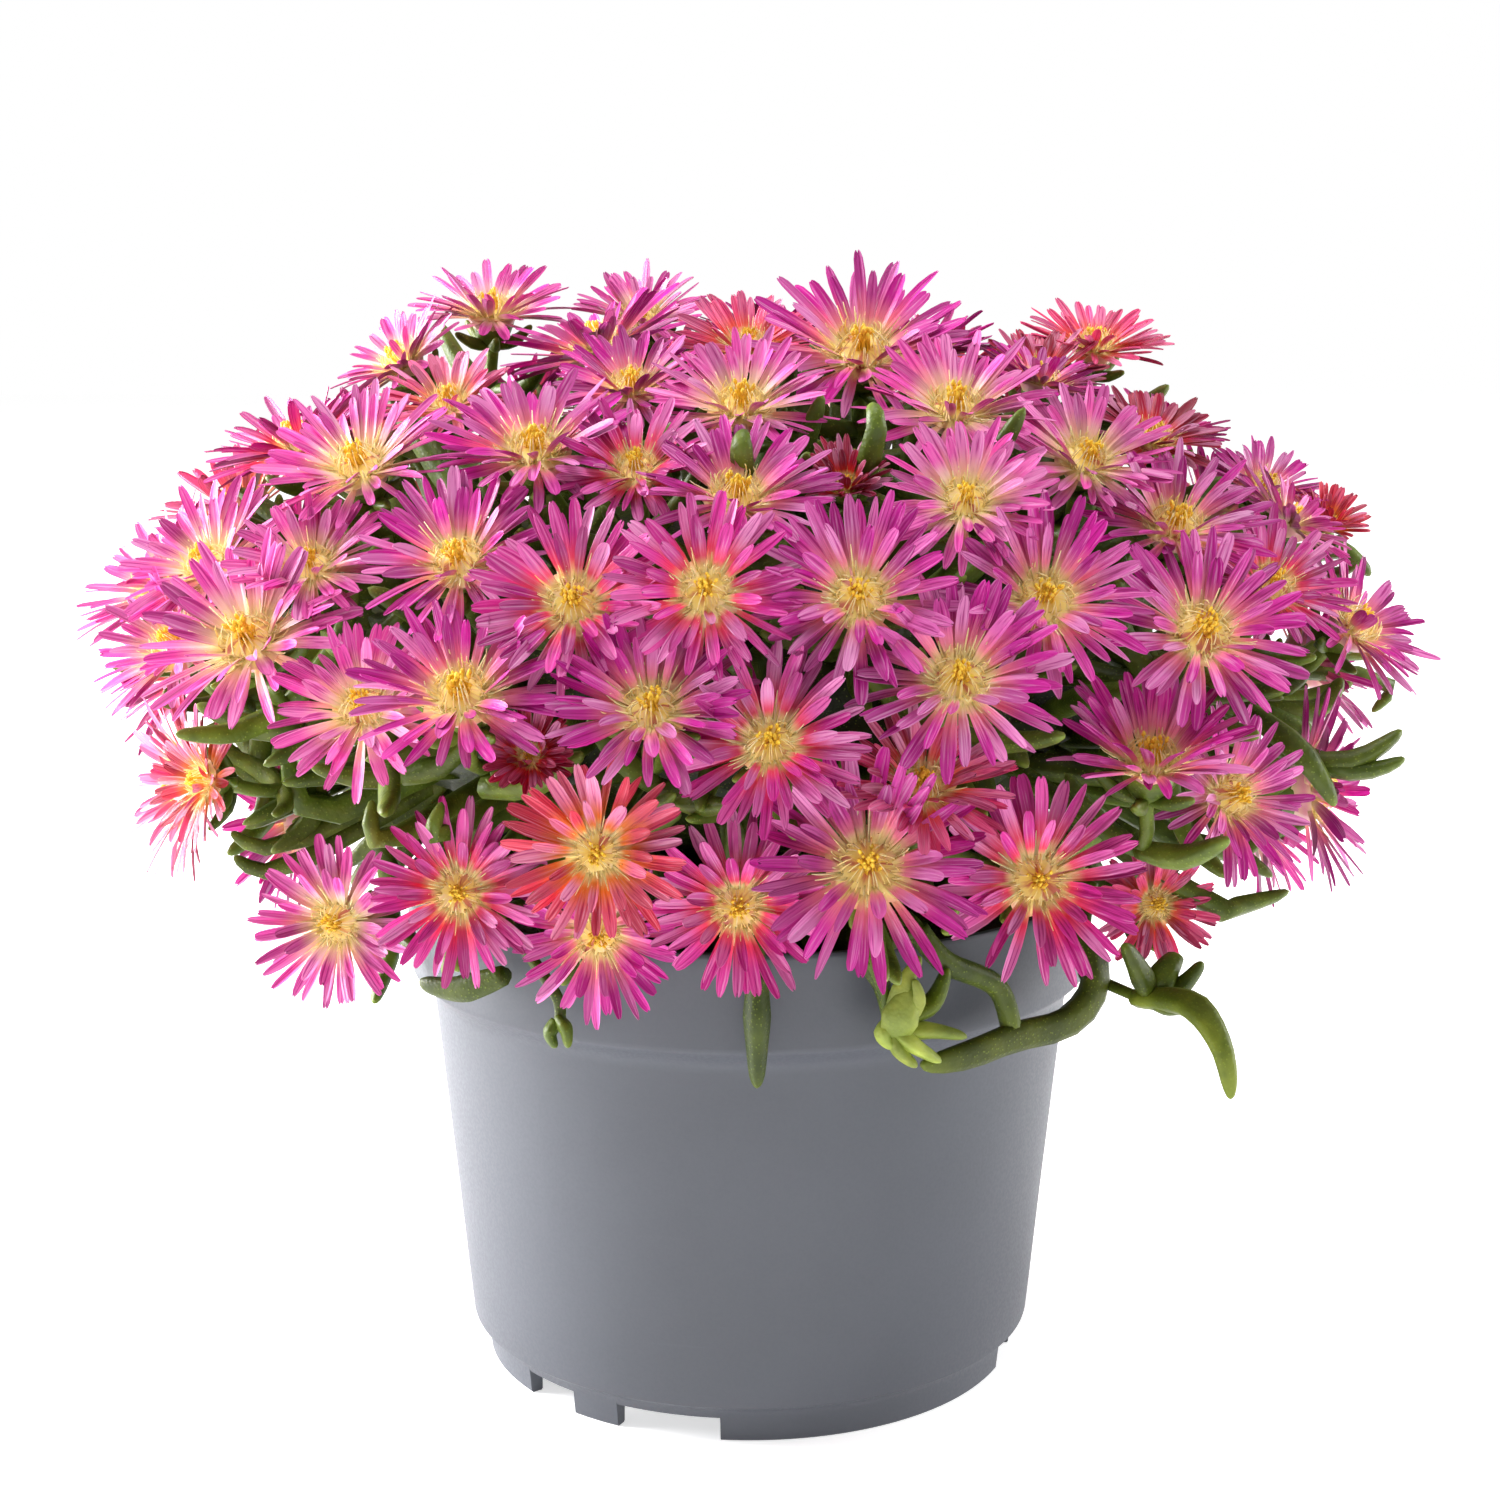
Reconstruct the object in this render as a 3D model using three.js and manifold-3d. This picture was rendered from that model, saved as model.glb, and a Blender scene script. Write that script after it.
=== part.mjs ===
// Potted ice plant: a mound of many-petalled blooms over fleshy leaves, in a round nursery pot.
// Millimetres, +Z up. The origin is at the middle of the pot's foot, on the surface it stands on.
// The front of the mound faces -Y. Blooms and stems that show from the front were placed by eye:
// their rows give the place seen in a 1500 pixel square picture of the front.

import * as THREE from "three";
import { mergeVertices } from "three/addons/utils/BufferGeometryUtils.js";
import Module from "manifold-3d";

const wasm = await Module();
wasm.setup();

// Driving dimensions of the pot, from the foot up
const SKIRT_RADIUS = 51.4;
const SKIRT_WALL = 2.4;
const FOOT_LINE_RADIUS = 54.5;
const FOOT_LINE_HEIGHT = 7.7;
const NECK_RADIUS = 61.1;
const NECK_HEIGHT = 73.2;
const COLLAR_RADIUS = 65;
const COLLAR_HEIGHT = 77.4;
const RIM_RADIUS = 66;
const RIM_HEIGHT = 95;
const POT_WALL = 1.7;
const POT_SIDES = 32;
const FLOOR_HEIGHT = 6.2;
const NOTCH_HEIGHT = 4.4;
const DRAIN_RADIUS = 4;
const DRAIN_RING = 34;
const DRAIN_HOLES = 6;
const RIM_BEVEL = 0.8;
const SKIRT_FLARE = 0.5;
const SKIRT_TOP = 5.3;
// Angles of the skirt's notches, from the front towards the right, in degrees, three times round
const NOTCHES = [[-53, -39], [-28, -6]];
const NOTCH_ROUNDS = 3;

// Driving dimensions of the soil and the plant
const SOIL_LEVEL = 86;
const TRUNK_RADIUS = 9;
const MOUND = { width: 112, depth: 101, middle: 135, up: 59, down: 55, roundness: 2 };
const CORE = { width: 78, depth: 69, middle: 136, up: 33, down: 37, roundness: 2.2 };
const GAP = 0.35;
const MERGE_LENGTH = 0.01;
const BLOOM_NODES = 54;

// The eye that sees the front: its distance from the pot's axis, its height, its downward tilt
// in degrees, its focal length in pixels and the pixel at the middle of the picture
const EYE = { distance: 500, height: 215.7, tilt: 11.13, focal: 2663, middlePixel: 750 };

// Blooms seen from the front: pixel across, pixel down, radius in millimetres, rise and turn in
// degrees of the way the bloom faces (turn 0 faces the front, and grows to the right),
// millimetres that it stands behind the mound's surface, and its tone
const SEEN_BLOOMS = [
  [492, 318, 15.5, 76, 0, 26, "rose"],
  [405, 366, 14, 50, -60, 18, "rose"],
  [450, 408, 12.5, 62, -10, 8, "salmon"],
  [362, 472, 17, 55, -22, 0, "rose"],
  [535, 457, 17, 62, 0, 0, "violet"],
  [642, 322, 13, 62, 0, 22, "rose"],
  [632, 392, 13.5, 62, 0, 8, "violet"],
  [637, 474, 13, 55, -8, 2, "magenta"],
  [748, 352, 14, 62, 0, 20, "coral"],
  [742, 412, 16, 60, 0, 6, "rose"],
  [738, 503, 15.5, 60, 5, 0, "violet"],
  [862, 358, 20, 52, 2, 0, "violet"],
  [213, 570, 16, 48, -38, 6, "rose"],
  [312, 570, 13.5, 48, -5, 4, "rose"],
  [460, 565, 15.5, 45, -10, 2, "violet"],
  [575, 605, 15.5, 30, -4, 0, "magenta"],
  [706, 594, 15, 26, 0, -3, "magenta"],
  [252, 645, 18.5, 45, -18, -2, "rose"],
  [180, 650, 15.5, 42, -45, 8, "rose"],
  [365, 712, 14.5, 38, -10, 2, "rose"],
  [462, 700, 17, 50, -5, -3, "violet"],
  [530, 757, 8.5, 30, 0, 8, "crimson"],
  [652, 713, 15.5, 42, 0, -1, "violet"],
  [770, 745, 15, 30, 0, 1, "magenta"],
  [208, 782, 11.5, 10, -70, 4, "orange"],
  [340, 922, 15, 8, -15, 0, "rose"],
  [460, 892, 14.5, 12, 0, 0, "magenta"],
  [597, 852, 14, 10, 0, -4, "orange"],
  [598, 932, 14.5, -4, 2, 5, "violet"],
  [738, 905, 14.5, 6, 0, 4, "magenta"],
  [868, 868, 18.5, 28, 0, -3, "violet"],
  [1036, 880, 17, 16, 4, 0, "magenta"],
  [1153, 905, 11, 16, 10, 2, "coral"],
  [858, 600, 16, 32, 0, 0, "violet"],
  [966, 505, 14, 42, 2, -3, "rose"],
  [955, 416, 16.5, 60, 3, 3, "rose"],
  [1085, 465, 15, 50, 14, 2, "rose"],
  [1043, 603, 16.5, 36, 6, 1, "violet"],
  [958, 684, 16.5, 38, 2, 0, "violet"],
  [1200, 636, 17, 36, 8, -2, "violet"],
  [1174, 532, 16, 60, 14, 4, "violet"],
  [1268, 590, 14, 45, 22, 4, "magenta"],
  [1350, 630, 16, 40, 55, 8, "violet"],
  [1325, 528, 8.5, 60, 30, 14, "orange"],
  [1262, 492, 12, 58, 30, 16, "violet"],
  [1150, 442, 12.5, 62, 25, 14, "crimson"],
  [1094, 352, 14, 74, 20, 26, "coral"],
  [1040, 378, 12, 66, 10, 12, "crimson"],
  [845, 490, 8.5, 52, 0, 6, "crimson"],
  [1150, 768, 17, 64, 4, 2, "violet"],
  [1226, 797, 14.5, 18, 32, 2, "violet"],
  [922, 790, 14, 50, 4, 6, "coral"],
];

// Blooms over the rest of the mound: their radii from the first round of them to the last, how many
// places each round tries, the height of the last place (1 is the mound's top and -1 its bottom),
// the share of their radii that two blooms keep between them, how far towards the eye a place may
// face, and the rise in degrees of the way that a bloom faces by its height over the mound's middle
const OTHER_RADII = [18, 15.5, 12.5];
const OTHER_PLACES = 900;
const OTHER_LOWEST = -0.62;
const OTHER_SPACING = 0.84;
const OTHER_FACING = 0.1;
const OTHER_LEAN = { middle: 28, perMillimetre: 0.9, most: 84 };
const OTHER_TONES = ["rose", "violet", "magenta", "rose", "violet", "coral", "violet", "salmon"];

const TONES = {
  rose: 0xe062a8,
  violet: 0xcf4aa9,
  magenta: 0xd23c82,
  salmon: 0xee7d86,
  coral: 0xe8566f,
  orange: 0xec6a58,
  crimson: 0xa81f48,
};
const LEAF_GREEN = 0x55702c;
const STEM_GREEN = 0x5d7433;
const SOIL_BROWN = 0x3a2a20;
const POT_GREY = 0x85878c;

const radians = THREE.MathUtils.degToRad;
const clamp = THREE.MathUtils.clamp;
const FULL_TURN = 2 * Math.PI;
const GOLDEN_ANGLE = Math.PI * (3 - Math.sqrt(5));

// A draw between 0 and 1 that depends only on its two whole numbers
function draw(index, kind) {
  const wave = Math.sin(index * 12.9898 + kind * 78.233) * 43758.5453;
  return wave - Math.floor(wave);
}

function spread(index, kind, reach) {
  return (2 * draw(index, kind) - 1) * reach;
}

// Solids

// A closed geometry as a solid for joining and cutting
function solidOf(geometry) {
  const bare = geometry.clone();
  bare.deleteAttribute("normal");
  bare.deleteAttribute("uv");
  const merged = mergeVertices(bare, 1e-4);
  return new wasm.Manifold(new wasm.Mesh({
    numProp: 3,
    vertProperties: new Float32Array(merged.attributes.position.array),
    triVerts: new Uint32Array(merged.index.array),
  }));
}

// A solid's surface as a geometry, with edges shorter than the merging length taken out
function geometryOf(solid) {
  const { vertProperties, triVerts } = solid.simplify(MERGE_LENGTH).getMesh();
  const geometry = new THREE.BufferGeometry();
  geometry.setAttribute("position", new THREE.BufferAttribute(vertProperties, 3));
  geometry.setIndex(new THREE.BufferAttribute(triVerts, 1));
  return geometry;
}

function geometryFrom(points, faces) {
  const geometry = new THREE.BufferGeometry();
  const coordinates = points.flatMap((point) => point.toArray());
  geometry.setAttribute("position", new THREE.Float32BufferAttribute(coordinates, 3));
  geometry.setIndex(faces.flat());
  return geometry;
}

function latheOf(profile, sides) {
  const geometry = new THREE.LatheGeometry(profile.map(([r, z]) => new THREE.Vector2(r, z)), sides);
  return geometry.rotateX(Math.PI / 2);
}

function unionOf(solids) {
  return solids.reduce((whole, solid) => whole.add(solid));
}

// Clearance
// Every placed patch keeps its triangles, a ball round them and the node that it belongs to.

const patches = [];

function patchOf(points, faces, node, owner = node) {
  const centre = points.reduce((sum, p) => sum.add(p), new THREE.Vector3()).divideScalar(points.length);
  const reach = Math.max(...points.map((p) => p.distanceTo(centre)));
  return { centre, reach, node, owner, triangles: faces.map((face) => face.map((index) => points[index])) };
}

function patchesOfGeometry(geometry, node) {
  const position = geometry.attributes.position;
  const order = geometry.index.array;
  for (let i = 0; i < order.length; i += 3) {
    const corners = [0, 1, 2].map((k) => new THREE.Vector3().fromBufferAttribute(position, order[i + k]));
    patches.push(patchOf(corners, [[0, 1, 2]], node));
  }
}

const alongOne = new THREE.Vector3();
const alongTwo = new THREE.Vector3();
const between = new THREE.Vector3();

// Squared distance between the segments p-q and r-s
function segmentDistance(p, q, r, s) {
  alongOne.subVectors(q, p);
  alongTwo.subVectors(s, r);
  between.subVectors(p, r);
  const a = alongOne.lengthSq();
  const b = alongOne.dot(alongTwo);
  const c = alongTwo.lengthSq();
  const d = alongOne.dot(between);
  const e = alongTwo.dot(between);
  const slant = a * c - b * b;
  let one = slant > 1e-9 ? clamp((b * e - c * d) / slant, 0, 1) : 0;
  let two = (b * one + e) / c;
  if (two < 0 || two > 1) {
    two = clamp(two, 0, 1);
    one = clamp((b * two - d) / a, 0, 1);
  }
  return between.addScaledVector(alongOne, one).addScaledVector(alongTwo, -two).lengthSq();
}

const plane = new THREE.Plane();
const foot = new THREE.Vector3();
const crossing = new THREE.Vector3();

// Whether a corner of one triangle stands within the gap of the other, or an edge goes through it
function touchesFace(one, [a, b, c], gap) {
  plane.setFromCoplanarPoints(a, b, c);
  const heights = one.map((corner) => plane.distanceToPoint(corner));
  for (let i = 0; i < 3; i += 1) {
    const next = (i + 1) % 3;
    if (Math.abs(heights[i]) < gap) {
      plane.projectPoint(one[i], foot);
      if (THREE.Triangle.containsPoint(foot, a, b, c)) return true;
    }
    if (heights[i] * heights[next] < 0) {
      const share = heights[i] / (heights[i] - heights[next]);
      crossing.lerpVectors(one[i], one[next], share);
      if (THREE.Triangle.containsPoint(crossing, a, b, c)) return true;
    }
  }
  return false;
}

function trianglesTouch(one, two, gap) {
  if (touchesFace(one, two, gap) || touchesFace(two, one, gap)) return true;
  for (let i = 0; i < 3; i += 1) {
    for (let j = 0; j < 3; j += 1) {
      if (segmentDistance(one[i], one[(i + 1) % 3], two[j], two[(j + 1) % 3]) < gap * gap) return true;
    }
  }
  return false;
}

// Whether a patch keeps the gap to all patches of other owners, or only of other nodes
function isClear(patch, rank = "owner") {
  return patches.every((other) => {
    if (other[rank] === patch[rank]) return true;
    const near = patch.reach + other.reach + GAP;
    if (patch.centre.distanceToSquared(other.centre) > near * near) return true;
    return !patch.triangles.some((one) => other.triangles.some((two) => trianglesTouch(one, two, GAP)));
  });
}

// Places seen from the front

const tilt = radians(EYE.tilt);
const eyePoint = new THREE.Vector3(0, -EYE.distance, EYE.height);

// The direction from the eye through a pixel, with a step of 1 straight ahead
function sightLine(pixelX, pixelY) {
  const right = (pixelX - EYE.middlePixel) / EYE.focal;
  const up = (EYE.middlePixel - pixelY) / EYE.focal;
  return new THREE.Vector3(
    right,
    Math.cos(tilt) + up * Math.sin(tilt),
    up * Math.cos(tilt) - Math.sin(tilt),
  );
}

// The point behind a pixel that stands at depth y
function seenAtDepth(pixelX, pixelY, y) {
  const line = sightLine(pixelX, pixelY);
  return line.clone().multiplyScalar((y + EYE.distance) / line.y).add(eyePoint);
}

// The point behind a pixel on the near side of an upright cylinder round the pot's axis
function seenOnCylinder(pixelX, pixelY, radius) {
  const line = sightLine(pixelX, pixelY);
  const a = line.x ** 2 + line.y ** 2;
  const b = -line.y * EYE.distance;
  const c = EYE.distance ** 2 - radius ** 2;
  const step = (-b - Math.sqrt(Math.max(0, b * b - a * c))) / a;
  return line.clone().multiplyScalar(step).add(eyePoint);
}

// Below 1 inside the rounded body and above 1 outside it
function moundValue(body, point) {
  const across = Math.hypot(point.x / body.width, point.y / body.depth);
  const rise = point.z - body.middle;
  const along = Math.abs(rise) / (rise > 0 ? body.up : body.down);
  return across ** body.roundness + along ** body.roundness;
}

// The first point behind a pixel on the mound, or the nearest to it where the line passes by
function seenOnMound(pixelX, pixelY, behind) {
  const line = sightLine(pixelX, pixelY);
  const start = EYE.distance - 150;
  const steps = 600;
  const stepLength = 0.5;
  let best = start;
  let bestValue = Infinity;
  for (let i = 0; i < steps; i += 1) {
    const travel = start + i * stepLength;
    const value = moundValue(MOUND, line.clone().multiplyScalar(travel).add(eyePoint));
    if (value < bestValue) {
      best = travel;
      bestValue = value;
    }
    if (value <= 1) break;
  }
  return line.clone().multiplyScalar(best + behind).add(eyePoint);
}

// Blooms

// Petals of a bloom, and shares of its radius: the ring that they grow from, the raised eye and
// the cup under it
const FRONT_PETALS = 13;
const BACK_PETALS = 10;
const RING_SHARE = 0.27;
const CROWN_SHARE = 0.16;
const CUP_SHARE = 0.36;

// A petal's thickness, its part of the way round that it covers at the tip, its lift off the
// bloom's face in degrees, and the lengths and lifts that it tries in turn to keep clear
const PETAL_THICKNESS = 1;
const PETAL_COVER = 0.82;
const OUTER_LIFT = 14;
const INNER_LIFT = 36;
const OUTER_LONGER = 1.06;
const LIFT_TRIES = [0, 8, -8, 16, -14, 25, 36, -22, 48, 60];
const LENGTH_TRIES = [1, 0.88, 0.76, 0.64, 0.5, 0.36, 0.24];

// How far a joining petal runs past the middle of its neighbour's petal, and what a millimetre of
// its length counts against a turn in radians
const JOIN_PAST = 1.6;
const JOIN_LENGTH_COST = 0.02;

function facing(rise, turn) {
  return new THREE.Vector3(
    Math.cos(rise) * Math.sin(turn),
    -Math.cos(rise) * Math.cos(turn),
    Math.sin(rise),
  );
}

function seenBlooms() {
  return SEEN_BLOOMS.map(([pixelX, pixelY, radius, rise, turn, behind, tone]) => ({
    centre: seenOnMound(pixelX, pixelY, behind),
    axis: facing(radians(rise), radians(turn)),
    radius,
    tone,
    petals: FRONT_PETALS,
  }));
}

// A place on the mound by its height from 1 at the top to -1 at the bottom, and its azimuth
function placeOnMound(height, azimuth) {
  const flat = Math.sqrt(1 - height * height);
  return new THREE.Vector3(
    flat * MOUND.width * Math.cos(azimuth),
    flat * MOUND.depth * Math.sin(azimuth),
    MOUND.middle + height * (height > 0 ? MOUND.up : MOUND.down),
  );
}

// The rest, facing out and up: places are tried by the golden angle from the top down, and one is
// kept where it doesn't face the eye and stands far enough from all blooms before it
function otherBlooms(seen) {
  const blooms = [...seen];
  OTHER_RADII.forEach((radius) => {
    for (let i = 0; i < OTHER_PLACES; i += 1) {
      const index = blooms.length;
      const azimuth = i * GOLDEN_ANGLE;
      const height = 1 - (1 - OTHER_LOWEST) * (i + 0.5) / OTHER_PLACES;
      const centre = placeOnMound(height, azimuth);
      const rise = centre.z - MOUND.middle;
      const out = new THREE.Vector3(
        centre.x / MOUND.width ** 2,
        centre.y / MOUND.depth ** 2,
        rise / MOUND.up ** 2,
      ).normalize();
      const facesEye = out.dot(eyePoint.clone().sub(centre).normalize());
      const crowded = blooms.some((other) => (
        centre.distanceTo(other.centre) < OTHER_SPACING * (radius + other.radius)
      ));
      if (facesEye < OTHER_FACING && !crowded) {
        const tipped = OTHER_LEAN.middle + OTHER_LEAN.perMillimetre * rise + spread(index, 4, 8);
        const lean = radians(Math.min(OTHER_LEAN.most, tipped));
        const turn = azimuth + Math.PI / 2 + radians(spread(index, 5, 14));
        const tone = OTHER_TONES[index % OTHER_TONES.length];
        blooms.push({ centre, axis: facing(lean, turn), radius, tone, petals: BACK_PETALS });
      }
    }
  });
  return blooms.slice(seen.length);
}

// The closest pairs share a node, until there are only as many nodes as wanted
function groupBlooms(blooms) {
  const pairs = [];
  blooms.forEach((one, i) => blooms.slice(i + 1).forEach((two, k) => {
    const closeness = one.centre.distanceTo(two.centre) / (one.radius + two.radius);
    pairs.push({ i, j: i + 1 + k, closeness });
  }));
  pairs.sort((one, two) => one.closeness - two.closeness);
  const partner = new Map();
  for (const { i, j } of pairs) {
    if (blooms.length - partner.size / 2 <= BLOOM_NODES) break;
    if (!partner.has(i) && !partner.has(j)) {
      partner.set(i, j);
      partner.set(j, i);
    }
  }
  let count = 0;
  blooms.forEach((bloom, i) => {
    if (partner.has(i) && partner.get(i) < i) {
      bloom.node = blooms[partner.get(i)].node;
    } else {
      count += 1;
      bloom.node = `bloom_${String(count).padStart(2, "0")}`;
    }
  });
}

// The receptacle: a ring of notches between the petals, the raised eye and the cup under it
function receptacle(bloom, index) {
  const side = new THREE.Vector3(0, 0, 1).cross(bloom.axis);
  if (side.lengthSq() < 1e-3) side.set(1, 0, 0);
  side.normalize();
  const up = bloom.axis.clone().cross(side);
  const ringRadius = RING_SHARE * bloom.radius;
  const place = (angle, r, height) => bloom.centre.clone()
    .addScaledVector(side, r * Math.cos(angle))
    .addScaledVector(up, r * Math.sin(angle))
    .addScaledVector(bloom.axis, height);
  const pitch = FULL_TURN / bloom.petals;
  const phase = draw(index, 11) * pitch;
  const angles = Array.from({ length: bloom.petals }, (_, i) => phase + i * pitch);
  Object.assign(bloom, {
    place,
    pitch,
    ringRadius,
    angles,
    notches: angles.map((angle) => place(angle, ringRadius, 0)),
    crown: place(0, 0, CROWN_SHARE * bloom.radius),
    cup: place(0, 0, -CUP_SHARE * bloom.radius),
  });
}

// One petal: a strap with a blunt tip and a raised middle, between two notches of the ring
function petalPoints(bloom, i, run, length) {
  const middle = bloom.angles[i] + bloom.pitch / 2;
  const half = PETAL_COVER * bloom.pitch * bloom.radius / 2;
  const root = bloom.place(middle, bloom.ringRadius, 0);
  const normal = run.clone().cross(bloom.place(middle + Math.PI / 2, 1, 0).sub(bloom.centre)).normalize();
  const across = normal.clone().cross(run);
  const tip = root.clone().addScaledVector(run, length);
  const raise = PETAL_THICKNESS * Math.min(1, length / PETAL_THICKNESS / 5);
  return [
    bloom.notches[i],
    tip.clone().addScaledVector(across, -half),
    tip.clone().addScaledVector(across, half),
    bloom.notches[(i + 1) % bloom.petals],
    root.clone().addScaledVector(run, 0.6 * length).addScaledVector(normal, raise),
    bloom.crown,
    bloom.cup,
  ];
}

const PETAL_FACES = [
  [0, 1, 4], [1, 2, 4], [2, 3, 4], [5, 0, 4], [5, 4, 3],
  [0, 2, 1], [0, 3, 2], [6, 3, 0],
];
const BARE_FACES = [[2, 0, 1], [3, 1, 0]];

// The way a petal runs: out from the middle between its notches, and lifted off the bloom's face
function petalRun(bloom, i, lift, sway) {
  const out = bloom.place(bloom.angles[i] + bloom.pitch / 2 + sway, 1, 0).sub(bloom.centre);
  return out.multiplyScalar(Math.cos(lift)).addScaledVector(bloom.axis, Math.sin(lift));
}

function petalOf(bloom, i, run, length) {
  const points = petalPoints(bloom, i, run, length);
  return { points, patch: patchOf(points, PETAL_FACES, bloom.node, bloom) };
}

// Every other petal is an inner one, which stands up more. A petal that would meet another bloom
// or a stem gets more or less lift, and then less length.
function growPetals(bloom, index) {
  bloom.grown = bloom.angles.map((_, i) => {
    const inner = i % 2 === 1;
    const lift = (inner ? INNER_LIFT : OUTER_LIFT) + spread(index, 40 + i, 5);
    const sway = spread(index, 20 + i, 0.06);
    const reach = (bloom.radius - bloom.ringRadius) * (inner ? 1 : OUTER_LONGER);
    const full = reach * (1 + spread(index, 60 + i, 0.05));
    for (const share of LENGTH_TRIES) {
      for (const extra of LIFT_TRIES) {
        const petal = petalOf(bloom, i, petalRun(bloom, i, radians(lift + extra), sway), full * share);
        if (isClear(petal.patch)) return petal;
      }
    }
    return { points: [bloom.notches[i], bloom.notches[(i + 1) % bloom.petals], bloom.crown, bloom.cup] };
  });
  patches.push(...bloom.grown.flatMap(({ patch }) => patch ?? []));
}

function bloomSolid(bloom) {
  const points = [];
  const faces = [];
  bloom.grown.forEach((petal) => {
    const own = petal.patch ? PETAL_FACES : BARE_FACES;
    faces.push(...own.map((face) => face.map((corner) => corner + points.length)));
    points.push(...petal.points);
  });
  return solidOf(geometryFrom(points, faces));
}

// Whether the blooms of a node fuse into one body with two faces at each of its edges
function isOneBody(members) {
  const fused = unionOf(members.map(bloomSolid));
  const order = mergeVertices(geometryOf(fused), MERGE_LENGTH).index.array;
  const facesAt = new Map();
  order.forEach((corner, k) => {
    const next = order[k % 3 === 2 ? k - 2 : k + 1];
    const edge = `${Math.min(corner, next)} ${Math.max(corner, next)}`;
    facesAt.set(edge, (facesAt.get(edge) ?? 0) + 1);
  });
  return fused.decompose().length === 1 && [...facesAt.values()].every((count) => count === 2);
}

// Two blooms that share a node hold together where a petal of one runs through a petal of the
// other: where none does, the petal that needs the least turning is aimed at its neighbour.
function joinBlooms(one, two) {
  if (isOneBody([one, two])) return;
  const ways = [];
  for (let i = 0; i < one.petals; i += 1) {
    const root = one.place(one.angles[i] + one.pitch / 2, one.ringRadius, 0);
    const natural = one.grown[i].points[4]?.clone().sub(root).normalize();
    for (const { points } of two.grown.filter((petal) => natural && petal.patch)) {
      const halfway = points[1].clone().lerp(points[2], 0.5);
      const target = points[0].clone().lerp(points[4], 0.5).lerp(halfway, 0.5);
      const run = target.sub(root);
      const length = run.length() + JOIN_PAST;
      run.normalize();
      ways.push({ i, run, length, turn: natural.angleTo(run) + JOIN_LENGTH_COST * length });
    }
  }
  ways.sort((a, b) => a.turn - b.turn);
  for (const { i, run, length } of ways) {
    const before = one.grown[i];
    const petal = petalOf(one, i, run, length);
    if (isClear(petal.patch, "node")) {
      one.grown[i] = petal;
      if (isOneBody([one, two])) {
        patches.splice(patches.indexOf(before.patch), 1, petal.patch);
        return;
      }
      one.grown[i] = before;
    }
  }
  throw new Error(`${one.node} finds no petal to hold its two blooms together`);
}

// Stems, stalks and leaves

// A tapered closed strand along points, with a ring of corners at each and a pointed or flat end
function strandPoints(route, radii, sides, pointed) {
  const points = [];
  const ringCount = pointed ? route.length - 1 : route.length;
  let side = new THREE.Vector3();
  for (let i = 0; i < ringCount; i += 1) {
    const back = route[Math.max(0, i - 1)];
    const ahead = route[Math.min(route.length - 1, i + 1)];
    const run = ahead.clone().sub(back).normalize();
    if (i === 0) side.set(Math.abs(run.z) > 0.8 ? 1 : 0, 0, Math.abs(run.z) > 0.8 ? 0 : 1);
    side = side.clone().addScaledVector(run, -side.dot(run)).normalize();
    const other = run.clone().cross(side);
    for (let k = 0; k < sides; k += 1) {
      const angle = FULL_TURN * k / sides;
      points.push(route[i].clone()
        .addScaledVector(side, radii[i] * Math.cos(angle))
        .addScaledVector(other, radii[i] * Math.sin(angle)));
    }
  }
  if (pointed) points.push(route[route.length - 1]);
  return points;
}

function strandFaces(ringCount, sides, pointed) {
  const faces = [];
  const last = (ringCount - 1) * sides;
  for (let k = 0; k < sides; k += 1) {
    const next = (k + 1) % sides;
    for (let low = 0; low < last; low += sides) {
      faces.push([low + k, low + next, low + sides + next], [low + k, low + sides + next, low + sides + k]);
    }
    if (pointed) faces.push([last + k, last + next, last + sides]);
  }
  for (let k = 1; k + 1 < sides; k += 1) {
    faces.push([0, k + 1, k]);
    if (!pointed) faces.push([last, last + k, last + k + 1]);
  }
  return faces;
}

function strand(route, radii, sides, pointed, node) {
  const points = strandPoints(route, radii, sides, pointed);
  const faces = strandFaces(pointed ? route.length - 1 : route.length, sides, pointed);
  return { patch: patchOf(points, faces, node), solid: () => solidOf(geometryFrom(points, faces)) };
}

const group = new THREE.Group();

function addNode(name, geometry, color, roughness) {
  const mesh = new THREE.Mesh(geometry, new THREE.MeshStandardMaterial({ color, roughness, metalness: 0 }));
  mesh.name = name;
  group.add(mesh);
}

// Pot: a turned shell with a flared collar, standing on a notched skirt

function sectorPrism(from, to, inner, outer, low, high) {
  const shape = new THREE.Shape();
  shape.moveTo(inner * Math.cos(from), inner * Math.sin(from));
  shape.lineTo(outer * Math.cos(from), outer * Math.sin(from));
  shape.lineTo(outer * Math.cos(to), outer * Math.sin(to));
  shape.lineTo(inner * Math.cos(to), inner * Math.sin(to));
  const geometry = new THREE.ExtrudeGeometry(shape, { depth: high - low, bevelEnabled: false });
  return solidOf(geometry.translate(0, 0, low));
}

function roundHole(x, y, radius, low, high, sides) {
  const geometry = new THREE.CylinderGeometry(radius, radius, high - low, sides).rotateX(Math.PI / 2);
  return solidOf(geometry.translate(x, y, (low + high) / 2));
}

// The inside of the wall turns a little higher than the outside at each corner
const INSIDE_HIGHER = 1.2;

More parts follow.
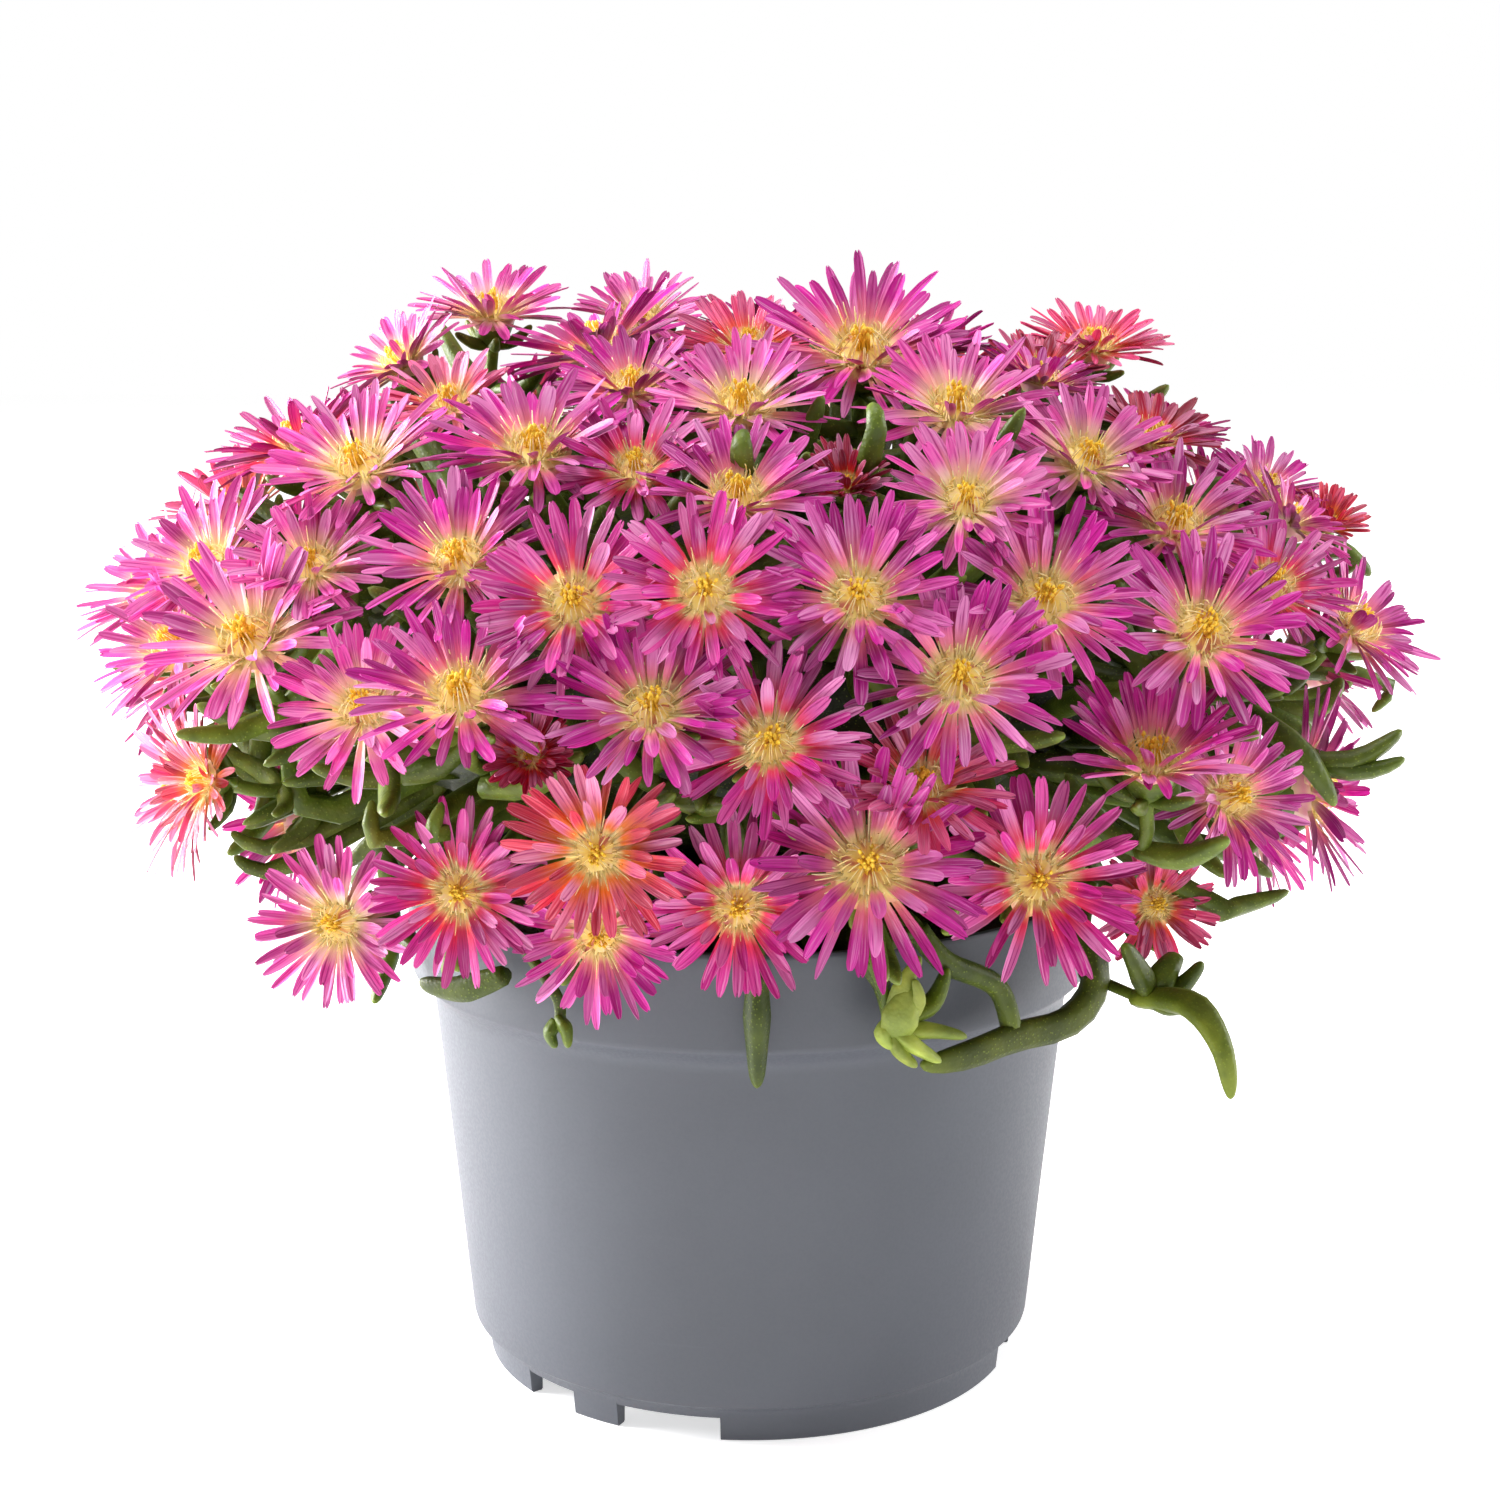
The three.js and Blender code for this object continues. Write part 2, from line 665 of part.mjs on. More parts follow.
function potSolid() {
  const shell = solidOf(latheOf([
    [0, FLOOR_HEIGHT],
    [SKIRT_RADIUS - SKIRT_WALL, FLOOR_HEIGHT],
    [SKIRT_RADIUS - SKIRT_WALL, 0],
    [SKIRT_RADIUS, 0],
    [SKIRT_RADIUS + SKIRT_FLARE, SKIRT_TOP],
    [FOOT_LINE_RADIUS, FOOT_LINE_HEIGHT],
    [NECK_RADIUS, NECK_HEIGHT],
    [COLLAR_RADIUS, COLLAR_HEIGHT],
    [RIM_RADIUS, RIM_HEIGHT - RIM_BEVEL],
    [RIM_RADIUS - RIM_BEVEL, RIM_HEIGHT],
    [RIM_RADIUS - POT_WALL, RIM_HEIGHT],
    [COLLAR_RADIUS - POT_WALL, COLLAR_HEIGHT + INSIDE_HIGHER],
    [NECK_RADIUS - POT_WALL, NECK_HEIGHT + INSIDE_HIGHER],
    [FOOT_LINE_RADIUS - POT_WALL, FOOT_LINE_HEIGHT + INSIDE_HIGHER],
    [0, FLOOR_HEIGHT + POT_WALL],
  ], POT_SIDES));
  const cuts = [];
  for (let round = 0; round < NOTCH_ROUNDS; round += 1) {
    const front = FULL_TURN * round / NOTCH_ROUNDS - Math.PI / 2;
    for (const [from, to] of NOTCHES) {
      const start = front + radians(from);
      const end = front + radians(to);
      cuts.push(sectorPrism(start, end, SKIRT_RADIUS - 6, SKIRT_RADIUS + 8, -1, NOTCH_HEIGHT));
    }
  }
  for (let i = 0; i < DRAIN_HOLES; i += 1) {
    const angle = FULL_TURN * i / DRAIN_HOLES;
    const x = DRAIN_RING * Math.cos(angle);
    const y = DRAIN_RING * Math.sin(angle);
    cuts.push(roundHole(x, y, DRAIN_RADIUS, FLOOR_HEIGHT - 1, FLOOR_HEIGHT + 5, 8));
  }
  return cuts.reduce((solid, cut) => solid.subtract(cut), shell);
}

// Soil: fills the pot to below its rim, with a plain hole for the trunk and each trailing stem

function soilSolid(stemHoles) {
  const room = POT_WALL + GAP;
  const fill = solidOf(latheOf([
    [0, FLOOR_HEIGHT + POT_WALL + GAP],
    [FOOT_LINE_RADIUS - room - 3, FOOT_LINE_HEIGHT + 2],
    [NECK_RADIUS - room, NECK_HEIGHT + 1],
    [COLLAR_RADIUS - room, COLLAR_HEIGHT + 1.8],
    [COLLAR_RADIUS - room + 0.4, SOIL_LEVEL],
    [0, SOIL_LEVEL + 2.5],
  ], POT_SIDES / 2));
  const trunkHole = roundHole(0, 0, TRUNK_RADIUS + GAP + 0.2, SOIL_LEVEL - 22, SOIL_LEVEL + 10, 12);
  const holes = stemHoles.map(([x, y, radius]) => (
    roundHole(x, y, radius, SOIL_LEVEL - 12, SOIL_LEVEL + 8, 8)
  ));
  return [trunkHole, ...holes].reduce((solid, hole) => solid.subtract(hole), fill);
}

// Foliage: the dense leafy middle of the mound on its trunk, a rounded body with a bumpy surface

const CORE_BUMP = 0.07;

function coreSolid() {
  const geometry = new THREE.SphereGeometry(1, 16, 10).rotateX(Math.PI / 2);
  const position = geometry.attributes.position;
  const point = new THREE.Vector3();
  for (let i = 0; i < position.count; i += 1) {
    point.fromBufferAttribute(position, i);
    const turn = Math.atan2(point.y, point.x);
    const vertical = point.z > 0 ? CORE.up : CORE.down;
    const flat = Math.hypot(point.x, point.y);
    const size = (flat ** CORE.roundness + Math.abs(point.z) ** CORE.roundness) ** (-1 / CORE.roundness);
    const bump = 1 + CORE_BUMP * Math.sin(7 * turn) * Math.sin(5 * point.z) * flat;
    position.setXYZ(
      i,
      point.x * size * bump * CORE.width,
      point.y * size * bump * CORE.depth,
      CORE.middle + point.z * size * bump * vertical,
    );
  }
  const trunk = new THREE.CylinderGeometry(TRUNK_RADIUS, TRUNK_RADIUS, CORE.middle - SOIL_LEVEL + 20, 12)
    .rotateX(Math.PI / 2)
    .translate(0, 0, (CORE.middle + SOIL_LEVEL - 20) / 2);
  return solidOf(geometry).add(solidOf(trunk));
}

// A bloom's stalk: down from the cup, then in to the core
const STALK_RADIUS = 1.4;
const STALK_STRAIGHT = 8;
const STALK_TRIES = 24;

function stalkOf(bloom, index) {
  const top = bloom.cup.clone().addScaledVector(bloom.axis, -GAP - 0.1);
  for (let attempt = 0; attempt < STALK_TRIES; attempt += 1) {
    const bend = top.clone().addScaledVector(bloom.axis, -STALK_STRAIGHT);
    bend.x += spread(index + attempt, 71, 0.35 * attempt);
    bend.y += spread(index + attempt, 72, 0.35 * attempt);
    const root = new THREE.Vector3(bend.x * 0.6, bend.y * 0.6, CORE.middle + 0.35 * (bend.z - CORE.middle));
    const route = attempt === 0 ? [root, top] : [root, bend, top];
    const stalk = strand(route, route.map(() => STALK_RADIUS), 3, false, "foliage");
    if (isClear(stalk.patch)) return stalk;
  }
  throw new Error(`the stalk of bloom ${index + 1} finds no room`);
}

// Shoots and leaves that show at the mound's edges and come out of the core, through points given
// by pixel across, pixel down and depth y
const CORE_SHOOTS = [
  { route: [[1265, 712, -10], [1330, 763, -8]], thickness: 4.6, tip: "flat" },
  { route: [[1366, 676, 16], [1372, 712, 16]], thickness: 3.8, tip: "pointed" },
  { route: [[1300, 552, 24], [1350, 556, 24], [1370, 576, 24]], thickness: 4.6, tip: "pointed" },
  { route: [[1250, 545, 26], [1262, 500, 30], [1258, 462, 30]], thickness: 4.6, tip: "pointed" },
  { route: [[1190, 895, -40], [1240, 905, -38], [1289, 891, -36]], thickness: 4.8, tip: "pointed" },
  { route: [[1200, 850, -26], [1262, 835, -20], [1312, 822, -18]], thickness: 4.6, tip: "pointed" },
  { route: [[300, 790, -24], [226, 742, -26]], thickness: 5.4, tip: "pointed" },
  { route: [[330, 812, -34], [286, 746, -36]], thickness: 5.8, tip: "pointed" },
  { route: [[285, 790, -22], [262, 740, -24], [268, 694, -24]], thickness: 5.6, tip: "pointed" },
  { route: [[300, 862, -26], [234, 856, -28]], thickness: 4.2, tip: "pointed" },
  { route: [[300, 840, -30], [231, 832, -32]], thickness: 4, tip: "pointed" },
  { route: [[250, 722, 2], [190, 742, 2]], thickness: 4.4, tip: "pointed" },
  { route: [[394, 838, -66], [372, 800, -68]], thickness: 4.4, tip: "pointed" },
  { route: [[448, 832, -78], [442, 802, -80]], thickness: 4, tip: "pointed" },
  { route: [[744, 470, -72], [742, 432, -72]], thickness: 4.6, tip: "pointed" },
  { route: [[872, 452, -70], [871, 404, -70]], thickness: 4.2, tip: "pointed" },
];

// Leaves of the forked shoot at the right, each from a point on it
const FORK_LEAVES = [
  { route: [[1318, 754, -8], [1366, 752, -6], [1403, 728, -5]], thickness: 5, tip: "pointed" },
  { route: [[1318, 758, -8], [1370, 770, -8], [1407, 757, -9]], thickness: 5, tip: "pointed" },
  { route: [[1240, 706, -9], [1300, 752, -14], [1337, 804, -16]], thickness: 5.6, tip: "pointed" },
  { route: [[1245, 708, -10], [1316, 712, -6], [1342, 678, -4]], thickness: 5.2, tip: "pointed" },
];

// Stems that root in the soil and hang over the rim: how far from the pot's axis they root, how
// deep, the height of their first bend over the soil, and how high they cross over the rim
const STEM_FOOT_RADIUS = 56;
const STEM_FOOT_DEPTH = 9;
const STEM_FIRST_BEND = 5;
const STEM_OVER_RIM = 4;

function seenRoute(route) {
  return route.map(([pixelX, pixelY, y]) => seenAtDepth(pixelX, pixelY, y));
}

function hangingRoute(route) {
  return route.map(([pixelX, pixelY, away]) => seenOnCylinder(pixelX, pixelY, away));
}

// The route of a shoot with its root well inside the core, at these shares of the way to its first
// point from the core's axis and middle
const SHOOT_ROOT_ACROSS = 0.45;
const SHOOT_ROOT_UP = 0.25;

function rootedRoute(route) {
  const [first, ...rest] = seenRoute(route);
  const root = new THREE.Vector3(
    SHOOT_ROOT_ACROSS * first.x,
    SHOOT_ROOT_ACROSS * first.y,
    CORE.middle + SHOOT_ROOT_UP * (first.z - CORE.middle),
  );
  return [root, first, ...rest];
}

// A leaf or shoot is narrow at its root, full along its middle and a little narrower at its end
const SHOOT_SHARES = [0.72, 1, 1, 0.86];

function leafRadii(count, thickness) {
  return SHOOT_SHARES.slice(0, count).map((share) => thickness / 2 * share);
}

function shoot(route, thickness, tip, node) {
  return strand(route, leafRadii(route.length, thickness), 3, tip === "pointed", node);
}

// A trailing stem from its foot in the soil, up and over the rim at its azimuth, with the stems
// that it parts into there and their leaves, whose points are given by pixel across, pixel down
// and distance from the pot's axis
function trailingStem({ node, azimuth, thickness, stems, leaves }) {
  const way = (away, height) => new THREE.Vector3(
    away * Math.cos(radians(azimuth)),
    away * Math.sin(radians(azimuth)),
    height,
  );
  const over = RIM_HEIGHT + STEM_OVER_RIM;
  const route = [
    way(STEM_FOOT_RADIUS, SOIL_LEVEL - STEM_FOOT_DEPTH),
    way(STEM_FOOT_RADIUS, SOIL_LEVEL + STEM_FIRST_BEND),
    way(RIM_RADIUS - 3, over),
    way(RIM_RADIUS + 4.5, over - 1),
  ];
  const end = way(RIM_RADIUS + 3.5, over - 0.2);
  return [
    strand(route, route.map(() => thickness / 2), 5, false, node),
    ...stems.map((stem) => shoot([end, ...hangingRoute(stem.route)], stem.thickness, stem.tip, node)),
    ...leaves.map((leaf) => shoot(hangingRoute(leaf.route), leaf.thickness, leaf.tip, node)),
  ];
}

const TRAILING_STEMS = [
  {
    node: "trailing_stem_front",
    azimuth: -66,
    thickness: 4,
    stems: [
      { route: [[945, 962, 71.5], [1003, 992, 72], [1012, 1036, 73]], thickness: 4.4, tip: "flat" },
      { route: [[868, 956, 71.5], [888, 992, 72], [902, 1030, 72.5]], thickness: 3.8, tip: "flat" },
      { route: [[757, 985, 71.5], [758, 1045, 71.5], [757, 1089, 71]], thickness: 4.6, tip: "pointed" },
    ],
    leaves: [
      { route: [[1020, 1032, 73], [970, 1058, 73], [921, 1068, 74]], thickness: 5.4, tip: "pointed" },
      {
        route: [[1003, 1036, 73], [1052, 1034, 75], [1084, 1006, 77], [1094, 968, 78]],
        thickness: 5.6,
        tip: "flat",
      },
      { route: [[895, 1022, 72.5], [930, 1030, 73.5], [967, 1036, 75]], thickness: 4.2, tip: "pointed" },
      { route: [[900, 1020, 72.5], [918, 1044, 74], [940, 1061, 75]], thickness: 4, tip: "pointed" },
      { route: [[905, 1020, 72.5], [896, 1046, 74], [914, 1067, 76]], thickness: 4, tip: "pointed" },
      { route: [[900, 1028, 72.5], [926, 1002, 75], [921, 978, 76]], thickness: 5, tip: "pointed" },
    ],
  },
  {
    node: "trailing_stem_left",
    azimuth: -128,
    thickness: 3.6,
    stems: [
      { route: [[505, 975, 71.5], [462, 988, 73], [420, 982, 75]], thickness: 5.6, tip: "pointed" },
      { route: [[550, 985, 71.5], [562, 1020, 71], [560, 1046, 72]], thickness: 2.6, tip: "flat" },
    ],
    leaves: [],
  },
  {
    node: "trailing_stem_right",
    azimuth: -28,
    thickness: 3.2,
    stems: [
      { route: [[1086, 971, 71], [1128, 992, 82], [1156, 1001, 90]], thickness: 3.4, tip: "flat" },
    ],
    leaves: [
      {
        route: [[1146, 998, 88], [1196, 1008, 100], [1222, 1044, 106], [1229, 1098, 108]],
        thickness: 5.4,
        tip: "pointed",
      },
      { route: [[1152, 1002, 89], [1140, 974, 90], [1128, 948, 90]], thickness: 4.8, tip: "pointed" },
      { route: [[1150, 1002, 89], [1182, 986, 94], [1203, 962, 97]], thickness: 5, tip: "pointed" },
      { route: [[1152, 1003, 89], [1164, 976, 91], [1178, 955, 91]], thickness: 5, tip: "pointed" },
    ],
  },
];

// Leaves that stand out of the core all over, by the golden angle: three-sided and pointed. Each
// leans over by seeded draws, and tries shorter lengths and other leans to keep clear.
const LEAF_COUNT = 76;
const LEAF_LENGTH = 30;
const LEAF_RADIUS = 2.9;
const LEAF_ROOT_DEPTH = 0.9;
const LEAF_LEAN = 0.75;
const LEAF_LOWEST = -0.6;
const LEAF_TRIES = [[1, 0], [1, 1.2], [0.85, 2.4], [0.85, 3.6], [0.7, 4.8], [0.7, 0.6], [0.55, 0]];

function coreLeaves() {
  const leaves = [];
  for (let i = 0; i < LEAF_COUNT; i += 1) {
    const height = 1 - (1 - LEAF_LOWEST) * (i + 0.5) / LEAF_COUNT;
    const azimuth = i * GOLDEN_ANGLE;
    const flat = Math.sqrt(1 - height * height);
    const vertical = height > 0 ? CORE.up : CORE.down;
    const size = (flat ** CORE.roundness + Math.abs(height) ** CORE.roundness) ** (-1 / CORE.roundness);
    const out = new THREE.Vector3(flat * Math.cos(azimuth), flat * Math.sin(azimuth), height);
    const east = new THREE.Vector3(-Math.sin(azimuth), Math.cos(azimuth), 0);
    const north = out.clone().cross(east);
    const root = new THREE.Vector3(out.x * CORE.width, out.y * CORE.depth, out.z * vertical)
      .multiplyScalar(size * LEAF_ROOT_DEPTH);
    root.z += CORE.middle;
    const length = LEAF_LENGTH * (1 + spread(i, 81, 0.2));
    const heading = FULL_TURN * draw(i, 82);
    for (const [share, turned] of LEAF_TRIES) {
      const run = out.clone()
        .addScaledVector(east, LEAF_LEAN * Math.cos(heading + turned))
        .addScaledVector(north, LEAF_LEAN * Math.sin(heading + turned))
        .normalize();
      const middle = root.clone().addScaledVector(run, 0.6 * length * share);
      const tip = root.clone().addScaledVector(run, length * share).addScaledVector(out, 0.1 * length);
      const leaf = strand([root, middle, tip], [LEAF_RADIUS, LEAF_RADIUS], 3, true, "foliage");
      if (isClear(leaf.patch)) {
        leaves.push(leaf);
        break;
      }
    }
  }
  return leaves;
}

// Build order: what is stiff first, then the petals and leaves, which give way to it

const pot = potSolid();
const potGeometry = geometryOf(pot);
patchesOfGeometry(potGeometry, "pot");
const stemHoles = TRAILING_STEMS.map(({ azimuth, thickness }) => [
  STEM_FOOT_RADIUS * Math.cos(radians(azimuth)),
  STEM_FOOT_RADIUS * Math.sin(radians(azimuth)),
  thickness / 2 + 0.6,
]);
const soilGeometry = geometryOf(soilSolid(stemHoles));
patchesOfGeometry(soilGeometry, "soil");
const core = coreSolid();
patchesOfGeometry(geometryOf(core), "foliage");
const shoots = [
  ...CORE_SHOOTS.map(({ route, thickness, tip }) => shoot(rootedRoute(route), thickness, tip, "foliage")),
  ...FORK_LEAVES.map(({ route, thickness, tip }) => shoot(seenRoute(route), thickness, tip, "foliage")),
];
const trailing = TRAILING_STEMS.map(trailingStem);

const seen = seenBlooms();
const blooms = [...seen, ...otherBlooms(seen)];
groupBlooms(blooms);
blooms.forEach((bloom, index) => {
  receptacle(bloom, index);
  const ring = bloom.notches;
  const corners = [...ring, bloom.cup, bloom.crown];
  const cupFaces = ring.map((_, i) => [ring.length, (i + 1) % ring.length, i]);
  const crownFaces = ring.map((_, i) => [ring.length + 1, i, (i + 1) % ring.length]);
  const middle = patchOf(corners, [...cupFaces, ...crownFaces], bloom.node, bloom);
  if (!isClear(middle)) throw new Error(`the middle of bloom ${index + 1} finds no room`);
  patches.push(middle);
});
[...shoots, ...trailing.flat()].forEach(({ patch }, i) => {
  if (!isClear(patch)) throw new Error(`strand ${i + 1} of ${patch.node} meets something`);
  patches.push(patch);
});

const stalks = blooms.map((bloom, index) => {
  const stalk = stalkOf(bloom, index);
  patches.push(stalk.patch);
  return stalk;
});
blooms.forEach(growPetals);
const nodes = Map.groupBy(blooms, (bloom) => bloom.node);
for (const members of nodes.values()) {
  if (members.length > 1) joinBlooms(...members);
}
const leaves = coreLeaves();

addNode("pot", potGeometry, POT_GREY, 0.55);
addNode("soil", soilGeometry, SOIL_BROWN, 0.95);
const strands = [...stalks, ...shoots, ...leaves].map((one) => one.solid());
addNode("foliage", geometryOf(unionOf([core, ...strands])), LEAF_GREEN, 0.6);
TRAILING_STEMS.forEach(({ node }, i) => {
  addNode(node, geometryOf(unionOf(trailing[i].map((branch) => branch.solid()))), STEM_GREEN, 0.6);
});

for (const [name, members] of nodes) {
  addNode(name, geometryOf(unionOf(members.map(bloomSolid))), TONES[members[0].tone], 0.6);
}

export default group;
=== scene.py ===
"""Potted ice plant: strap-petalled blooms, fleshy leaves and a nursery pot round the packed solids."""

import math

import bpy
import numpy as np
from bpy.props import FloatProperty, FloatVectorProperty, IntProperty, PointerProperty
from bpy.types import Operator, Panel, PropertyGroup
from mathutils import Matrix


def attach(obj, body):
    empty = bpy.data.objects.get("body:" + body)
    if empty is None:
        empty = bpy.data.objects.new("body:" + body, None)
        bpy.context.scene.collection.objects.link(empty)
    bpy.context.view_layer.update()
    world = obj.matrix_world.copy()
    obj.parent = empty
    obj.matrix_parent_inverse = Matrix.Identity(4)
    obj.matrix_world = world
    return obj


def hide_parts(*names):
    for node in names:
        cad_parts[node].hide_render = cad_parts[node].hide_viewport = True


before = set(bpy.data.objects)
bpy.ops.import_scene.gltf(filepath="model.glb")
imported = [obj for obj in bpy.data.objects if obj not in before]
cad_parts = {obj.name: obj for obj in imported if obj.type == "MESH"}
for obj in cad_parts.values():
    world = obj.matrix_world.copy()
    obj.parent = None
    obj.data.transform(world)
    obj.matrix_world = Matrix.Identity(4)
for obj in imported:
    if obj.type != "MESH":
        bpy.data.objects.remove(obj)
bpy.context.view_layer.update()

bl_info = {
    "name": "Potted ice plant",
    "version": (1, 0, 0),
    "blender": (4, 5, 0),
    "location": "3D View > Sidebar > Ice plant",
    "description": "Builds the petals, eyes, leaves, stems, soil and pot of a potted ice plant",
    "category": "Object",
}

MM = 0.001
FULL_TURN = 2 * math.pi
GOLDEN_ANGLE = math.pi * (3 - math.sqrt(5))
SEED = 11

# The layout has the solids' sizes, rows and seeded draws, in millimetres. The scene alone has the
# order of the other blooms' tones, the turn of the orange bloom at the far left, and finer forked
# leaves and trailing stems

# The mound that the blooms stand on, and the leafy middle: half width, half depth, the height of
# the widest place, the rise above it and the drop below it, and the power of the roundness
MOUND = {"width": 112, "depth": 101, "middle": 135, "up": 59, "down": 55, "roundness": 2}
CORE = {"width": 78, "depth": 69, "middle": 136, "up": 33, "down": 37, "roundness": 2.2}
SOIL_LEVEL = 86
TRUNK_RADIUS = 9
RIM_RADIUS = 66
RIM_HEIGHT = 95
BLOOM_NODES = 54
COMMON_RADIUS = 16

# Shares of a bloom's radius: the ring that the solids' petals start from, and the cup's depth
RING_SHARE = 0.27
CUP_SHARE = 0.36

# The viewpoint: distance from the pot's axis, height, tilt down in degrees, focal length in
# pixels, and the pixel at the middle and the width of the picture
VIEW = {"distance": 500, "height": 215.7, "tilt": 11.13, "focal": 2663, "middle": 750, "picture": 1500}

# The search for the mound along a sight line: where it starts before the axis, step and steps
SEARCH = {"before": 150, "step": 0.5, "steps": 600}

# Blooms seen from the front: pixel across, pixel down, radius, rise and turn in degrees of the
# way the bloom faces, millimetres that it stands behind the mound's surface, and its tone
SEEN_BLOOMS = [
    (492, 318, 15.5, 76, 0, 26, "rose"),
    (405, 366, 14, 50, -60, 18, "rose"),
    (450, 408, 12.5, 62, -10, 8, "salmon"),
    (362, 472, 17, 55, -22, 0, "rose"),
    (535, 457, 17, 62, 0, 0, "violet"),
    (642, 322, 13, 62, 0, 22, "rose"),
    (632, 392, 13.5, 62, 0, 8, "violet"),
    (637, 474, 13, 55, -8, 2, "magenta"),
    (748, 352, 14, 62, 0, 20, "coral"),
    (742, 412, 16, 60, 0, 6, "rose"),
    (738, 503, 15.5, 60, 5, 0, "violet"),
    (862, 358, 20, 52, 2, 0, "violet"),
    (213, 570, 16, 48, -38, 6, "rose"),
    (312, 570, 13.5, 48, -5, 4, "rose"),
    (460, 565, 15.5, 45, -10, 2, "violet"),
    (575, 605, 15.5, 30, -4, 0, "magenta"),
    (706, 594, 15, 26, 0, -3, "magenta"),
    (252, 645, 18.5, 45, -18, -2, "rose"),
    (180, 650, 15.5, 42, -45, 8, "rose"),
    (365, 712, 14.5, 38, -10, 2, "rose"),
    (462, 700, 17, 50, -5, -3, "violet"),
    (530, 757, 8.5, 30, 0, 8, "crimson"),
    (652, 713, 15.5, 42, 0, -1, "violet"),
    (770, 745, 15, 30, 0, 1, "magenta"),
    (208, 782, 11.5, 12, -52, 4, "orange"),
    (340, 922, 15, 8, -15, 0, "rose"),
    (460, 892, 14.5, 12, 0, 0, "magenta"),
    (597, 852, 14, 10, 0, -4, "orange"),
    (598, 932, 14.5, -4, 2, 5, "violet"),
    (738, 905, 14.5, 6, 0, 4, "magenta"),
    (868, 868, 18.5, 28, 0, -3, "violet"),
    (1036, 880, 17, 16, 4, 0, "magenta"),
    (1153, 905, 11, 16, 10, 2, "coral"),
    (858, 600, 16, 32, 0, 0, "violet"),
    (966, 505, 14, 42, 2, -3, "rose"),
    (955, 416, 16.5, 60, 3, 3, "rose"),
    (1085, 465, 15, 50, 14, 2, "rose"),
    (1043, 603, 16.5, 36, 6, 1, "violet"),
    (958, 684, 16.5, 38, 2, 0, "violet"),
    (1200, 636, 17, 36, 8, -2, "violet"),
    (1174, 532, 16, 60, 14, 4, "violet"),
    (1268, 590, 14, 45, 22, 4, "magenta"),
    (1350, 630, 16, 40, 55, 8, "violet"),
    (1325, 528, 8.5, 60, 30, 14, "orange"),
    (1262, 492, 12, 58, 30, 16, "violet"),
    (1150, 442, 12.5, 62, 25, 14, "crimson"),
    (1094, 352, 14, 74, 20, 26, "coral"),
    (1040, 378, 12, 66, 10, 12, "crimson"),
    (845, 490, 8.5, 52, 0, 6, "crimson"),
    (1150, 768, 17, 64, 4, 2, "violet"),
    (1226, 797, 14.5, 18, 32, 2, "violet"),
    (922, 790, 14, 50, 4, 6, "coral"),
]

# The other blooms: radii, places tried for each, the lowest place as a share of the mound's drop,
# the least distance as a share of two radii, how far they may face the viewpoint, their lean by
# height with its spread and that of their turn in degrees, and their tones
OTHER_RADII = (18, 15.5, 12.5)
OTHER_PLACES = 900
OTHER_LOWEST = -0.62
OTHER_SPACING = 0.84
OTHER_FACING = 0.1
OTHER_LEAN = {"middle": 28, "per_millimetre": 0.9, "most": 84}
LEAN_SPREAD = 8
TURN_SPREAD = 14
OTHER_TONES = ("rose", "violet", "magenta", "rose", "violet", "violet", "coral", "salmon")

# Kinds of draw of a bloom, and the seeds of the generators
LEAN_DRAW = 4
TURN_DRAW = 5
PHASE_DRAW = 11
DRAWS = {
    "petals": 0,
    "filaments": 500,
    "stamens": 700,
    "soil": 901,
    "leaves": 902,
    "stems": 903,
    "low leaves": 904,
}

# Shoots and leaves that come out of the core: points by pixel across, pixel down and depth, and
# thickness
CORE_SHOOTS = [
    ([(1265, 712, -10), (1330, 763, -8)], 4.6),
    ([(1366, 676, 16), (1372, 712, 16)], 3.8),
    ([(1300, 552, 24), (1350, 556, 24), (1370, 576, 24)], 4.6),
    ([(1250, 545, 26), (1262, 500, 30), (1258, 462, 30)], 4.6),
    ([(1190, 895, -40), (1240, 905, -38), (1289, 891, -36)], 4.8),
    ([(1200, 850, -26), (1262, 835, -20), (1312, 822, -18)], 4.6),
    ([(300, 790, -24), (226, 742, -26)], 5.4),
    ([(330, 812, -34), (286, 746, -36)], 5.8),
    ([(285, 790, -22), (262, 740, -24), (268, 694, -24)], 5.6),
    ([(300, 862, -26), (234, 856, -28)], 4.2),
    ([(300, 840, -30), (231, 832, -32)], 4),
    ([(250, 722, 2), (190, 742, 2)], 4.4),
    ([(394, 838, -66), (372, 800, -68)], 4.4),
    ([(448, 832, -78), (442, 802, -80)], 4),
    ([(744, 470, -72), (742, 432, -72)], 4.6),
    ([(872, 452, -70), (871, 404, -70)], 4.2),
]
# The forked leaves at the right, in the same way
FORK_LEAVES = [
    ([(1270, 742, -38), (1330, 764, -46), (1372, 752, -46), (1402, 730, -45)], 4.4),
    ([(1270, 746, -38), (1330, 768, -46), (1374, 770, -47), (1405, 758, -47)], 4),
    ([(1240, 706, -36), (1290, 744, -48), (1316, 774, -50), (1335, 806, -50)], 5),
    ([(1245, 708, -10), (1316, 712, -6), (1342, 678, -4)], 5.2),
]
# A shoot's root as shares of its first point: of its way out, and of its height over the core's
# middle
SHOOT_ROOT_ACROSS = 0.45
SHOOT_ROOT_UP = 0.25

